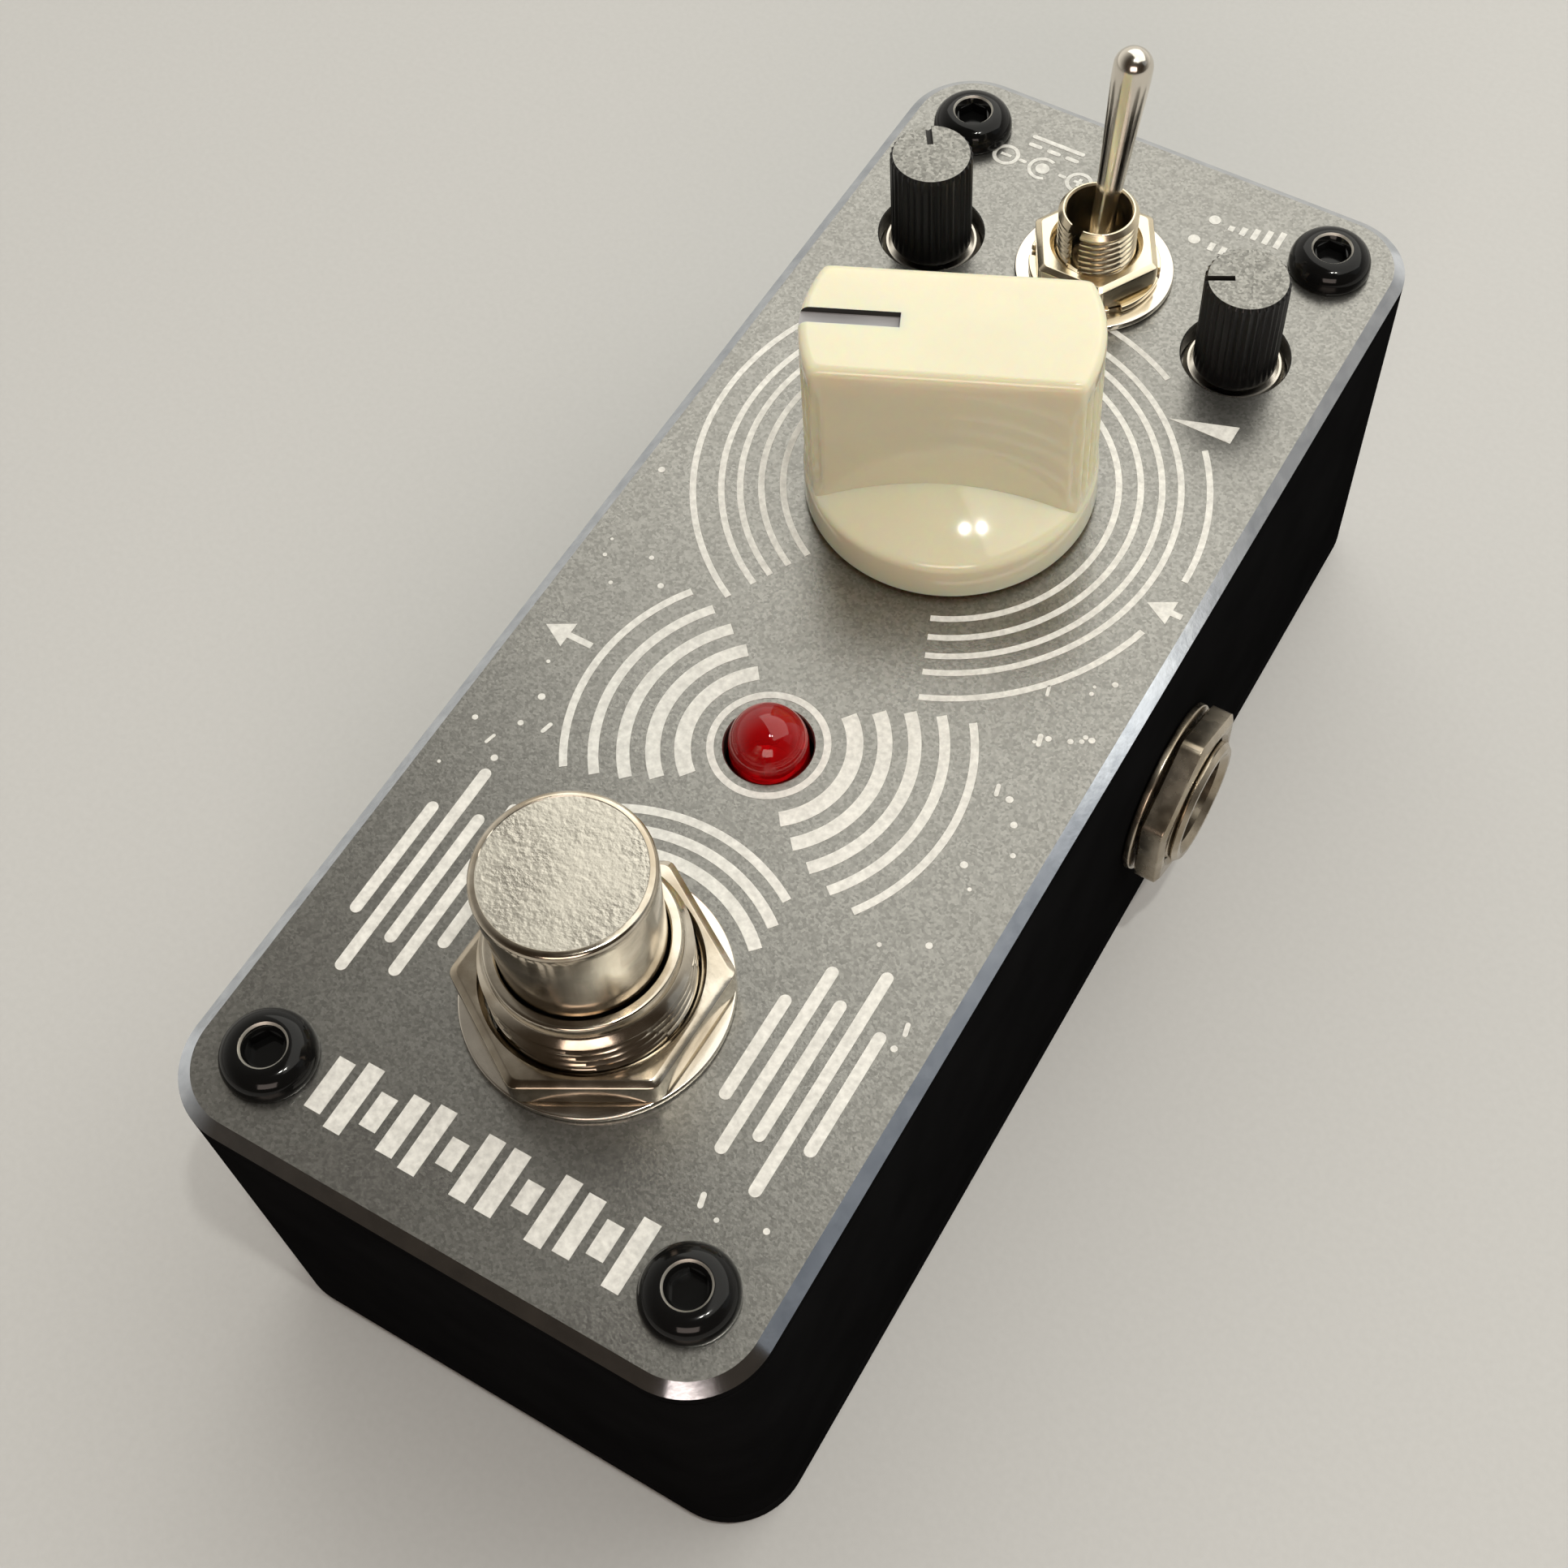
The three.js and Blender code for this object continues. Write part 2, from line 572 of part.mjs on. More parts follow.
add(pedal, 'enclosure', enclosure(), caseBlack);
add(pedal, 'top_plate', topPlate(), plateBlack);
add(pedal, 'bottom_plate', basePlate(), caseBlack);
for (const corner of corners) {
  const [x, y] = [corner.x * SCREW.x, corner.y * SCREW.y];
  add(pedal, `top_screw_${corner.name}`, buttonScrew(), screwBlack, { x, y, z: PLATE_TOP + SEAM });
  add(pedal, `bottom_screw_${corner.name}`, countersunkScrew(), screwBlack, { x, y, z: BASE_BOTTOM });
  const foot = { x: corner.x * FOOT.x, y: corner.y * FOOT.y };
  add(pedal, `rubber_foot_${corner.name}`, rubberFoot(), rubberBlack, foot);
}

add(pedal, 'main_board', mainBoard(), boardGreen);
add(pedal, 'switch_board', switchBoard(), boardGreen);
add(pedal, 'ribbon_cable', ribbonCable(), ribbonGrey);
const onBoard = groupAt(0, 0, PLATE_TOP + BOARD_TOP);
add(onBoard, 'amplifier_chip', amplifierChip(), plasticBlack, { x: -8, y: -2.5 });
add(onBoard, 'capacitor_front', capacitor(), sleeveBlue, { x: 9, y: -13 });
add(onBoard, 'capacitor_rear', capacitor(), sleeveBlue, { x: 9, y: -5 });

const mainControl = groupAt(0, MAIN_POT_Y, PLATE_TOP);
const mainPot = potentiometer(BUSH_RADIUS, SHAFT_RADIUS, MAIN_BUSH_TOP, 11);
add(mainControl, 'main_pot_body', mainPot, steel);
add(mainControl, 'main_pot_washer', ring(BUSH_RADIUS + FIT, 5.6, SEAM, NUT_LEVEL - SEAM), nickel);
add(mainControl, 'main_pot_nut', hexNut(10, BUSH_RADIUS + FIT, NUT_LEVEL, 2.6), nickel);
const mainTurn = { turn: MAIN_POINTER };
add(mainControl, 'main_pot_shaft', flattedShaft(SHAFT_RADIUS, -5, MAIN_SHAFT_TOP), steel, mainTurn);
add(mainControl, 'main_knob', mainKnob(), cream, mainTurn);

const smallControls = [
  { name: 'left', x: -SMALL_POT.x, turn: LEFT_POINTER },
  { name: 'right', x: SMALL_POT.x, turn: RIGHT_POINTER },
];
for (const { name, x, turn } of smallControls) {
  const control = groupAt(x, SMALL_POT.y, PLATE_TOP);
  const pot = potentiometer(SMALL_BUSH_RADIUS, SMALL_SHAFT_RADIUS, -0.7, 9.4);
  add(control, `${name}_pot_body`, pot, steel);
  add(control, `${name}_pot_shaft`, flattedShaft(SMALL_SHAFT_RADIUS, -5, 5.4), steel, { turn });
  add(control, `${name}_knob`, smallKnob(), knobBlack, { turn });
}

const toggle = groupAt(0, TOGGLE_Y, PLATE_TOP);
add(toggle, 'toggle_body', toggleBody(), plasticBlack);
add(toggle, 'toggle_bush', toggleBush(), nickel);
add(toggle, 'toggle_flat_washer', ring(TOGGLE.bushRadius + FIT, 5.44, SEAM, 0.55), nickel);
add(toggle, 'toggle_lock_washer', toggleLockWasher(), nickel);
add(toggle, 'toggle_nut', hexNut(8, TOGGLE.bushRadius + FIT, 1.2, 3), nickel);
add(toggle, 'toggle_lever', toggleLever(), nickel, { z: TOGGLE.pivot, lean: -LEVER_LEAN });

const lampPlace = groupAt(0, LAMP_Y, PLATE_TOP);
add(lampPlace, 'led_lamp', lamp(), lampRed);

const stomp = groupAt(0, STOMP_Y, PLATE_TOP);
const stompBore = STOMP.bushRadius + FIT;
const lowerNut = hexNut(14, stompBore, -3.8, UNDER_PLATE - SEAM);
add(stomp, 'footswitch_body', footswitchBody(), plasticBlack);
add(stomp, 'footswitch_bush', footswitchBush(), nickel);
add(stomp, 'footswitch_lower_nut', lowerNut, nickel);
add(stomp, 'footswitch_washer', ring(stompBore, 7.9, SEAM, 0.6, FINE), nickel);
add(stomp, 'footswitch_nut', hexNut(14, stompBore, 0.7, 3, 29), nickel);
add(stomp, 'footswitch_cap', footswitchCap(), nickel);
add(stomp, 'footswitch_spring', footswitchSpring(), steel);

const jacks = [
  { name: 'input', y: INPUT_Y, side: 1 },
  { name: 'output', y: OUTPUT_Y, side: -1 },
];
for (const { name, y, side } of jacks) {
  const jack = groupAt(0, y, JACK_Z);
  jack.rotation.y = (side * Math.PI) / 2;
  const slotUp = { turn: side > 0 ? 0 : 180 };
  add(jack, `${name}_jack_housing`, jackHousing(), plasticBlack, slotUp);
  add(jack, `${name}_jack_contact`, jackContact(), brass, slotUp);
  add(jack, `${name}_jack_bush`, jackBush(), nickel);
  const washer = ring(JACK.bush + FIT, 6.1, CASE_SIDE + SEAM, CASE_SIDE + 0.6);
  const nut = hexNut(11, JACK.bush + FIT, CASE_SIDE + 0.7, CASE_SIDE + 2.6);
  add(jack, `${name}_jack_washer`, washer, nickel);
  add(jack, `${name}_jack_nut`, nut, nickel);
}

const socket = groupAt(0, 0, JACK_Z);
socket.rotation.x = -Math.PI / 2;
add(socket, 'dc_socket_body', socketBody(), plasticBlack);
add(socket, 'dc_socket_pin', socketPin(), nickel);

export default pedal;
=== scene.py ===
# Looks of the slim guitar effect pedal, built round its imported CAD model.
# Shapes are made in millimetres about a local origin and then placed in the CAD frame, which is in metres.
import json
import math
import random

import bmesh
import bpy
from mathutils import Matrix, Vector

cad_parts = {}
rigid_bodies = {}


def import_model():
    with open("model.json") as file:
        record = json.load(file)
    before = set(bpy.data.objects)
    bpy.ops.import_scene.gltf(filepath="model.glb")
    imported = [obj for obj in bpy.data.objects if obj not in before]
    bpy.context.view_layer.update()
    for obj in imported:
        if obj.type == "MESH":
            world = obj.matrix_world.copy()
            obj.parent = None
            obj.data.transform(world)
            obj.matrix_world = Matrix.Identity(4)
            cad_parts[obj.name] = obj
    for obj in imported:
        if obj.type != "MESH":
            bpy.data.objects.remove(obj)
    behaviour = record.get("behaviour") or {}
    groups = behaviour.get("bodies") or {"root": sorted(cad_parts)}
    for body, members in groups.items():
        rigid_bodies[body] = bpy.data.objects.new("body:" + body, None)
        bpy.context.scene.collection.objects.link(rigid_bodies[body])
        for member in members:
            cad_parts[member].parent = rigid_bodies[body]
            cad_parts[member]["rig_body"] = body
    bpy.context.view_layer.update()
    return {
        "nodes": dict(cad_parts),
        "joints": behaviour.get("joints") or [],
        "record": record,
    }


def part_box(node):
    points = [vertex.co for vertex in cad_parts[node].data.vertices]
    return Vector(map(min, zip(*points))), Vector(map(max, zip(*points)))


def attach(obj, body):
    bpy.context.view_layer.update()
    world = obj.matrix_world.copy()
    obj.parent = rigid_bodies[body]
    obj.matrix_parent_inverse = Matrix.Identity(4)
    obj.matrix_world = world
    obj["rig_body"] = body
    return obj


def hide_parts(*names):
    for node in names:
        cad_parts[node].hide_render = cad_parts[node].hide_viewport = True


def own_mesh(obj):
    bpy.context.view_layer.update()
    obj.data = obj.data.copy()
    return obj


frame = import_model()

MM = 0.001
RECORD = frame["record"]
SLOT_OF = {part["node"]: part["material_slot"] for part in RECORD["subparts"]}
JOINTS = {joint["name"]: joint for joint in frame["joints"]}
CORNERS = ("front_left", "front_right", "rear_left", "rear_right")


# ---------------- places, all read from the frame


def middle(node):
    low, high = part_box(node)
    return (low + high) / 2


def extent(node, axis):
    low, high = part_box(node)
    return (high[axis] - low[axis]) / MM


def heights(node):
    """A node's lowest and highest level in millimetres."""
    low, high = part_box(node)
    return low.z / MM, high.z / MM


def at(x, y, z):
    """Local millimetres with their origin at that point of the frame."""
    return Matrix.Translation((x, y, z)) @ Matrix.Scale(MM, 4)


def turn(degrees, axis="Z"):
    return Matrix.Rotation(math.radians(degrees), 4, axis)


PLATE_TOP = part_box("top_plate")[1].z
FIRST_POINTER = 240  # a pointer's direction when its knob is fully down, counterclockwise from +X


def on_plate(node):
    """Local millimetres with the origin on the plate's top face, on the axis of that node."""
    centre = middle(node)
    return at(centre.x, centre.y, PLATE_TOP)


def pointer(joint):
    """Where a knob's pointer stands at rest."""
    return FIRST_POINTER + JOINTS[joint]["range_deg"][0]


# ---------------- mesh helpers, in millimetres


def softened(points, steps=4):
    """A closed outline, with each point that has a third number rounded by that setback."""
    outline = []
    for i, point in enumerate(points):
        here = Vector(point[:2])
        if len(point) == 2:
            outline.append(here)
            continue
        before = Vector(points[i - 1][:2]) - here
        after = Vector(points[(i + 1) % len(points)][:2]) - here
        start = here + before.normalized() * point[2]
        end = here + after.normalized() * point[2]
        for k in range(steps + 1):
            t = k / steps
            outline.append((1 - t) ** 2 * start + 2 * t * (1 - t) * here + t * t * end)
    return outline


def turned(points, sides=96, warp=None):
    """A solid turned about Z from a closed [radius, height] outline; warp moves a point by its angle."""
    shape = bmesh.new()
    rings = []
    for radius, height in softened(points):
        if radius < 1e-6:
            rings.append([shape.verts.new((0, 0, height))] * sides)
            continue
        ring = []
        for i in range(sides):
            angle = 2 * math.pi * i / sides
            r, z = warp(angle, radius, height) if warp else (radius, height)
            ring.append(shape.verts.new((r * math.cos(angle), r * math.sin(angle), z)))
        rings.append(ring)
    for ring, following in zip(rings, rings[1:] + rings[:1]):
        for i in range(sides):
            j = (i + 1) % sides
            corners = list(dict.fromkeys((ring[i], ring[j], following[j], following[i])))
            if len(corners) > 2:
                shape.faces.new(corners)
    bmesh.ops.recalc_face_normals(shape, faces=shape.faces)
    return shape


def rod(radius, low, high, sides):
    return turned([(0, low), (radius, low), (radius, high), (0, high)], sides)


def quarter(radius, height, across, up, steps, first=1):
    """Outline points over a dome, from its side to its crown."""
    angles = [math.radians(90 * k / steps) for k in range(first, steps + 1)]
    return [(radius + across * math.cos(t), height + up * math.sin(t)) for t in angles]


def lofted(loops):
    """A solid through equal loops of points, closed at the first and the last."""
    shape = bmesh.new()
    rings = [[shape.verts.new(point) for point in loop] for loop in loops]
    for ring, following in zip(rings, rings[1:]):
        for i in range(len(ring)):
            j = (i + 1) % len(ring)
            shape.faces.new((ring[i], ring[j], following[j], following[i]))
    shape.faces.new(rings[0])
    shape.faces.new(rings[-1])
    bmesh.ops.recalc_face_normals(shape, faces=shape.faces)
    return shape


def prism(outline, low, high, edge=0.0):
    """An upright solid on a flat outline, its rims cut back by edge."""
    centre = sum((Vector(p) for p in outline), Vector((0, 0))) / len(outline)
    span = max((Vector(p) - centre).length for p in outline)

    def loop(height, inset):
        scale = 1 - inset / span
        return [(*(centre + (Vector(p) - centre) * scale), height) for p in outline]

    if not edge:
        return lofted([loop(low, 0), loop(high, 0)])
    return lofted([loop(low, edge), loop(low + edge, 0), loop(high - edge, 0), loop(high, edge)])


def box_outline(width, length, x=0.0, y=0.0):
    w, h = width / 2, length / 2
    return [(x + w, y + h), (x - w, y + h), (x - w, y - h), (x + w, y - h)]


def block(width, length, low, high, x=0.0, y=0.0, edge=0.0):
    return prism(box_outline(width, length, x, y), low, high, edge)


def plate_loop(width, length, corner, height, steps=16):
    """A rectangle with round corners as a loop of points."""
    loop = []
    for k, (side, end) in enumerate(((1, 1), (-1, 1), (-1, -1), (1, -1))):
        for s in range(steps + 1):
            angle = math.radians(90 * (k + s / steps))
            x = side * (width / 2 - corner) + corner * math.cos(angle)
            y = end * (length / 2 - corner) + corner * math.sin(angle)
            loop.append((x, y, height))
    return loop


def moved(shape, x=0.0, y=0.0, z=0.0, turned_by=None):
    matrix = Matrix.Translation((x, y, z))
    if turned_by is not None:
        matrix = matrix @ turned_by
    shape.transform(matrix)
    return shape


def painted(shape, index):
    for face in shape.faces:
        face.material_index = index
    return shape


def merged(*shapes):
    """Several separate solids in one mesh."""
    total = shapes[0]
    for shape in shapes[1:]:
        mesh = bpy.data.meshes.new("part")
        shape.to_mesh(mesh)
        shape.free()
        total.from_mesh(mesh)
        bpy.data.meshes.remove(mesh)
    return total


MATERIAL_SLOTS = 4


def boolean(shape, tools, operation="DIFFERENCE"):
    """Cuts the tools out of a shape, or joins them to it; new faces keep their tool's material index."""
    temporary = []
    for solid in (shape, *tools):
        mesh = bpy.data.meshes.new("solid")
        solid.to_mesh(mesh)
        solid.free()
        for slot in range(MATERIAL_SLOTS):
            mesh.materials.append(None)
        item = bpy.data.objects.new("solid", mesh)
        bpy.context.scene.collection.objects.link(item)
        temporary.append(item)
    base = temporary[0]
    for tool in temporary[1:]:
        modifier = base.modifiers.new("boolean", "BOOLEAN")
        modifier.operation = operation
        modifier.solver = "EXACT"
        modifier.object = tool
    graph = bpy.context.evaluated_depsgraph_get()
    result = bmesh.new()
    result.from_object(base, graph)
    bmesh.ops.remove_doubles(result, verts=result.verts, dist=1e-5)
    for item in temporary:
        mesh = item.data
        bpy.data.objects.remove(item)
        bpy.data.meshes.remove(mesh)
    if not result.faces:
        raise RuntimeError("a boolean left nothing")
    return result


def thread(radius, low, high, pitch, depth):
    """A warp that cuts a screw thread into the part of a turned outline at that radius."""

    def warp(angle, r, z):
        if abs(r - radius) > 1e-4 or not low <= z <= high:
            return r, z
        phase = z / pitch - angle / (2 * math.pi)
        fade = min(1.0, (z - low) / pitch * 2, (high - z) / pitch * 2)
        return r - depth * fade * (0.5 + 0.5 * math.cos(2 * math.pi * phase)), z

    return warp


def threaded_side(radius, low, high, pitch):
    """Points up the side of a threaded stretch, close enough to carry the thread."""
    count = math.ceil((high - low) / pitch * 8)
    return [(radius, low + (high - low) * i / count) for i in range(count + 1)]


def hexagon(across, low, high, bore, first_corner=0.0, chamfer=0.3, bevel=0.4):
    """A hexagon nut with a chamfered bore, bevels along its flats and slightly round corners."""
    face = across / 2

    def reach(angle):
        off = (math.degrees(angle) - first_corner) % 60 - 30
        return min(face / math.cos(math.radians(off)), face / math.cos(math.radians(30)) * 0.985)

    def warp(angle, r, z):
        return (r * reach(angle) / face, z) if r > lip + 0.01 else (r, z)

    lip = bore + chamfer
    side = [(face - bevel, low), (face, low + 0.6 * bevel), (face, high - 0.6 * bevel, 0.06)]
    section = [(bore, low + chamfer), (lip, low), *side, (face - bevel, high, 0.06)]
    section += [(lip, high), (bore, high - chamfer)]
    return turned(section, 180, warp)


def washer(inner, outer, low, high, edge=0.12, sides=128):
    section = [(inner, low), (outer, low, edge), (outer, high, edge), (inner, high, edge)]
    return turned(section, sides)


def piece(name, shape, place, node, materials, stands_for=None, smooth=32):
    """Turns a shape into an object that rides with the CAD node's body and stands for that node."""
    shape.transform(place)
    mesh = bpy.data.meshes.new(name)
    shape.to_mesh(mesh)
    shape.free()
    for material in materials:
        mesh.materials.append(material)
    mesh.shade_smooth()
    mesh.set_sharp_from_angle(angle=math.radians(smooth))
    item = bpy.data.objects.new(name, mesh)
    bpy.context.scene.collection.objects.link(item)
    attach(item, frame["nodes"][node]["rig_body"])
    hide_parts(*([node] if stands_for is None else stands_for))
    return item


# ---------------- materials


def plain(name, color, roughness, metallic=0.0, **sockets):
    material = bpy.data.materials.new(name)
    material.use_nodes = True
    shader = material.node_tree.nodes["Principled BSDF"]
    shader.inputs["Base Color"].default_value = (*color, 1)
    shader.inputs["Roughness"].default_value = roughness
    shader.inputs["Metallic"].default_value = metallic
    for label, value in sockets.items():
        shader.inputs[label.replace("_", " ")].default_value = value
    return material


def add_node(material, kind, **inputs):
    node = material.node_tree.nodes.new(kind)
    for label, value in inputs.items():
        socket = node.inputs[label]
        if isinstance(value, bpy.types.NodeSocket):
            material.node_tree.links.new(value, socket)
        else:
            socket.default_value = value
    return node


def shader_of(material):
    return material.node_tree.nodes["Principled BSDF"]


def place_of(material, stretch=(1, 1, 1)):
    """Coordinates fixed to the piece, in metres, scaled along each axis."""
    coordinates = add_node(material, "ShaderNodeTexCoord")
    mapping = add_node(material, "ShaderNodeMapping", Vector=coordinates.outputs["Object"])
    mapping.inputs["Scale"].default_value = stretch
    return mapping.outputs["Vector"]


def noise(material, size, detail=2.0, stretch=(1, 1, 1)):
    """Soft noise with features of that size in millimetres."""
    node = add_node(material, "ShaderNodeTexNoise", Vector=place_of(material, stretch))
    node.inputs["Scale"].default_value = 1 / (size * MM)
    node.inputs["Detail"].default_value = detail
    return node.outputs["Fac"]


def grains(material, size):
    """A random level for each grain of that size in millimetres."""
    node = add_node(material, "ShaderNodeTexVoronoi", Vector=place_of(material))
    node.inputs["Scale"].default_value = 1 / (size * MM)
    split = add_node(material, "ShaderNodeSeparateColor", Color=node.outputs["Color"])
    return split.outputs[0]


def bumped(material, height, depth, strength=1.0):
    """Adds relief of that depth in millimetres on top of what is there."""
    normal = shader_of(material).inputs["Normal"]
    before = normal.links[0].from_socket if normal.links else None
    node = add_node(material, "ShaderNodeBump", Height=height)
    node.inputs["Distance"].default_value = depth * MM
    node.inputs["Strength"].default_value = strength
    if before is not None:
        material.node_tree.links.new(before, node.inputs["Normal"])
    material.node_tree.links.new(node.outputs["Normal"], normal)


def tinted(material, level, dark, light, low=0.3, high=0.7):
    """Base colour between dark and light by a level."""
    ramp = add_node(material, "ShaderNodeValToRGB", Fac=level)
    ramp.color_ramp.elements[0].position = low
    ramp.color_ramp.elements[0].color = (*dark, 1)
    ramp.color_ramp.elements[1].position = high
    ramp.color_ramp.elements[1].color = (*light, 1)
    material.node_tree.links.new(ramp.outputs["Color"], shader_of(material).inputs["Base Color"])


def worn(material, level, smooth, rough):
    """Roughness between smooth and rough by a level, for smudges and rubbed places."""
    node = add_node(material, "ShaderNodeMapRange", Value=level)
    node.inputs["From Min"].default_value = 0.3
    node.inputs["From Max"].default_value = 0.7
    node.inputs["To Min"].default_value = smooth
    node.inputs["To Max"].default_value = rough
    material.node_tree.links.new(node.outputs["Result"], shader_of(material).inputs["Roughness"])


def shade(color, factor):
    return tuple(min(1.0, c * factor) for c in color)


def metal(name, color, roughness, grain=0.0, depth=0.0):
    """Plated or bare metal with faint smudges, and relief if it has a grain."""
    material = plain(name, color, roughness, 1.0)
    smudge = noise(material, 3.0, 4.0)
    tinted(material, smudge, shade(color, 0.9), shade(color, 1.05))
    worn(material, smudge, roughness * 0.75, roughness * 1.35)
    if grain:
        bumped(material, noise(material, grain, 3.0), depth)
    return material


def painted_reflection_metal(name, bare, painted_dark, roughness):
    """Nickel plating with painted dark brown reflections in soft patches, standing for a dim brown room
    mirrored in the metal.
    """
    material = plain(name, bare, roughness, 1.0)
    patches = noise(material, 3.5, 5.0)
    # painted reflection: the base colour runs from bright nickel to dark brown in soft patches
    tinted(material, patches, painted_dark, bare, 0.38, 0.66)
    worn(material, noise(material, 1.5, 4.0), roughness * 0.8, roughness * 1.3)
    bumped(material, noise(material, 0.5, 3.0), 0.004)
    return material


def coated(name, color, roughness, grain, depth, **sockets):
    """Plastic, paint or rubber with a fine surface grain."""
    material = plain(name, color, roughness, **sockets)
    smudge = noise(material, 5.0, 4.0)
    tinted(material, smudge, shade(color, 0.85), shade(color, 1.15))
    worn(material, smudge, roughness * 0.85, roughness * 1.15)
    bumped(material, noise(material, grain, 3.0), depth)
    return material


def anodised(name, low, high, roughness):
    """Bead-blasted black aluminium: each dimple catches the light in its own way."""
    material = plain(name, high, roughness, 0.9)
    tinted(material, grains(material, 0.17), low, high, 0.0, 1.0)
    worn(material, noise(material, 9.0, 3.0), roughness * 0.92, roughness * 1.1)
    bumped(material, noise(material, 0.16, 2.0), 0.01, 0.6)
    return material


def laser_marked():
    """The pale, slightly mottled surface that a marking laser leaves."""
    material = plain("laser_mark", (0.74, 0.73, 0.69), 0.55, 0.15)
    tinted(material, noise(material, 0.35, 4.0), (0.62, 0.61, 0.575), (0.84, 0.83, 0.785))
    bumped(material, noise(material, 0.15, 2.0), 0.008, 0.5)
    return material


def cut_bright(name):
    """The chamfer left bare by a diamond cutter, with its faint feed lines."""
    material = plain(name, (0.62, 0.65, 0.7), 0.13, 1.0)
    tinted(material, noise(material, 1.6, 3.0), (0.5, 0.53, 0.58), (0.66, 0.69, 0.74))
    bumped(material, noise(material, 0.5, 2.0), 0.004, 0.6)
    return material


def cream_plastic():
    """Glossy moulded cream plastic that lets a little light in."""
    color = (0.77, 0.738, 0.55)
    sockets = {"Subsurface Weight": 0.75, "Subsurface Scale": 2.0 * MM, "Coat Weight": 0.3}
    material = plain("cream_plastic", color, 0.12)
    for label, value in sockets.items():
        shader_of(material).inputs[label].default_value = value
    shader_of(material).inputs["Subsurface Radius"].default_value = (1.0, 0.5, 0.2)
    tinted(material, noise(material, 4.0, 4.0), shade(color, 0.985), shade(color, 1.015))
    worn(material, noise(material, 2.0, 4.0), 0.07, 0.11)
    bumped(material, noise(material, 1.8, 2.0), 0.006, 0.35)
    return material


def red_resin():
    """Clear red lamp resin."""
    material = plain("red_resin", (0.85, 0.004, 0.01), 0.03, Transmission_Weight=0.7, IOR=1.5)
    tinted(material, noise(material, 1.4, 2.0), (0.8, 0.002, 0.006), (0.95, 0.008, 0.012))
    bumped(material, noise(material, 1.1, 2.0), 0.004, 0.3)
    return material


def circuit_board():
    material = plain("circuit_board", (0.02, 0.14, 0.05), 0.45)
    tinted(material, noise(material, 1.2, 1.0), (0.012, 0.09, 0.03), (0.03, 0.2, 0.07), 0.45, 0.55)
    bumped(material, noise(material, 0.6, 1.0), 0.02)
    return material


NICKEL = (0.74, 0.69, 0.61)
nickel = metal("nickel", NICKEL, 0.15, 0.5, 0.003)
nickel_dull = metal("nickel_dull", shade(NICKEL, 0.8), 0.3, 0.4, 0.004)
nickel_warm = metal("nickel_warm", (0.8, 0.7, 0.52), 0.22, 0.4, 0.004)
# the jack and foot-switch nickel carry painted dark brown reflections in soft patches
nickel_jack = painted_reflection_metal("nickel_jack", (0.55, 0.49, 0.4), (0.32, 0.27, 0.2), 0.24)
nickel_painted_reflections = painted_reflection_metal("nickel_painted_reflections", (0.72, 0.66, 0.56), (0.4, 0.34, 0.26), 0.14)
nickel_blasted = metal("nickel_blasted", (0.6, 0.57, 0.5), 0.3, 0.36, 0.032)
pale_socket_ring = metal("pale_socket_ring", (0.62, 0.6, 0.55), 0.5, 0.4, 0.004)
steel = metal("steel", (0.5, 0.5, 0.5), 0.3, 0.3, 0.004)
black_oxide = coated("black_oxide", (0.005, 0.005, 0.005), 0.1, 0.7, 0.003, Specular_IOR_Level=0.22)
brass = metal("brass", (0.6, 0.4, 0.12), 0.25, 0.3, 0.003)
bright_edge = cut_bright("bright_edge")
plate_black = anodised("plate_black", (0.19, 0.187, 0.174), (0.29, 0.286, 0.267), 0.27)
mark_white = laser_marked()
case_black = coated("case_black", (0.0065, 0.0065, 0.0068), 0.5, 0.25, 0.006, Specular_IOR_Level=0.0)
knob_cream = cream_plastic()
knob_black = coated("knob_black", (0.005, 0.005, 0.0055), 0.35, 0.3, 0.008, Specular_IOR_Level=0.3)
knob_black_top = anodised("knob_black_top", (0.16, 0.158, 0.145), (0.34, 0.335, 0.31), 0.42)
slot_shadow = coated("slot_shadow", (0.02, 0.018, 0.015), 0.6, 0.2, 0.01)
slot_paint = coated("slot_paint", (0.4, 0.39, 0.4), 0.5, 0.2, 0.01)
rubber_black = coated("rubber_black", (0.02, 0.02, 0.02), 0.85, 0.35, 0.04)
plastic_black = coated("plastic_black", (0.018, 0.018, 0.02), 0.45, 0.3, 0.01)
sleeve_blue = coated("sleeve_blue", (0.02, 0.04, 0.15), 0.35, 0.6, 0.01)
ribbon_grey = coated("ribbon_grey", (0.3, 0.3, 0.3), 0.5, 0.4, 0.02)
board_green = circuit_board()
lamp_red = red_resin()

FINISHES = {
    "case_black": case_black,
    "plate_black": plate_black,
    "screw_black": black_oxide,
    "nickel": nickel,
    "steel": steel,
    "knob_cream": knob_cream,
    "knob_black": knob_black,
    "rubber_black": rubber_black,
    "lamp_red": lamp_red,
    "board_green": board_green,
    "plastic_black": plastic_black,
    "sleeve_blue": sleeve_blue,
    "ribbon_grey": ribbon_grey,
    "brass": brass,
}

for node_name, node_object in frame["nodes"].items():
    node_object.data.materials.clear()
    node_object.data.materials.append(FINISHES[SLOT_OF[node_name]])


# ---------------- case

CASE_WIDTH = extent("enclosure", 0)
CASE_LENGTH = extent("enclosure", 1)
CASE_CORNER = 5.0
CASE_WALL = 2.0
JACK_HOLE = 4.7
SOCKET_HOLE = 5.1
BOSS = {"radius": 3.6, "hole": 1.65}


def slab(width, length, corner, low, high, edge):
    """A plate with round corners and softened rims."""
    loops = [(low, edge), (low + edge * 0.3, edge * 0.3), (low + edge, 0)]
    loops += [(high - edge, 0), (high - edge * 0.3, edge * 0.3), (high, edge)]
    return lofted(
        [plate_loop(width - 2 * i, length - 2 * i, corner - i, z) for z, i in loops]
    )


def jack_direction(name):
    return 1 if name == "input" else -1


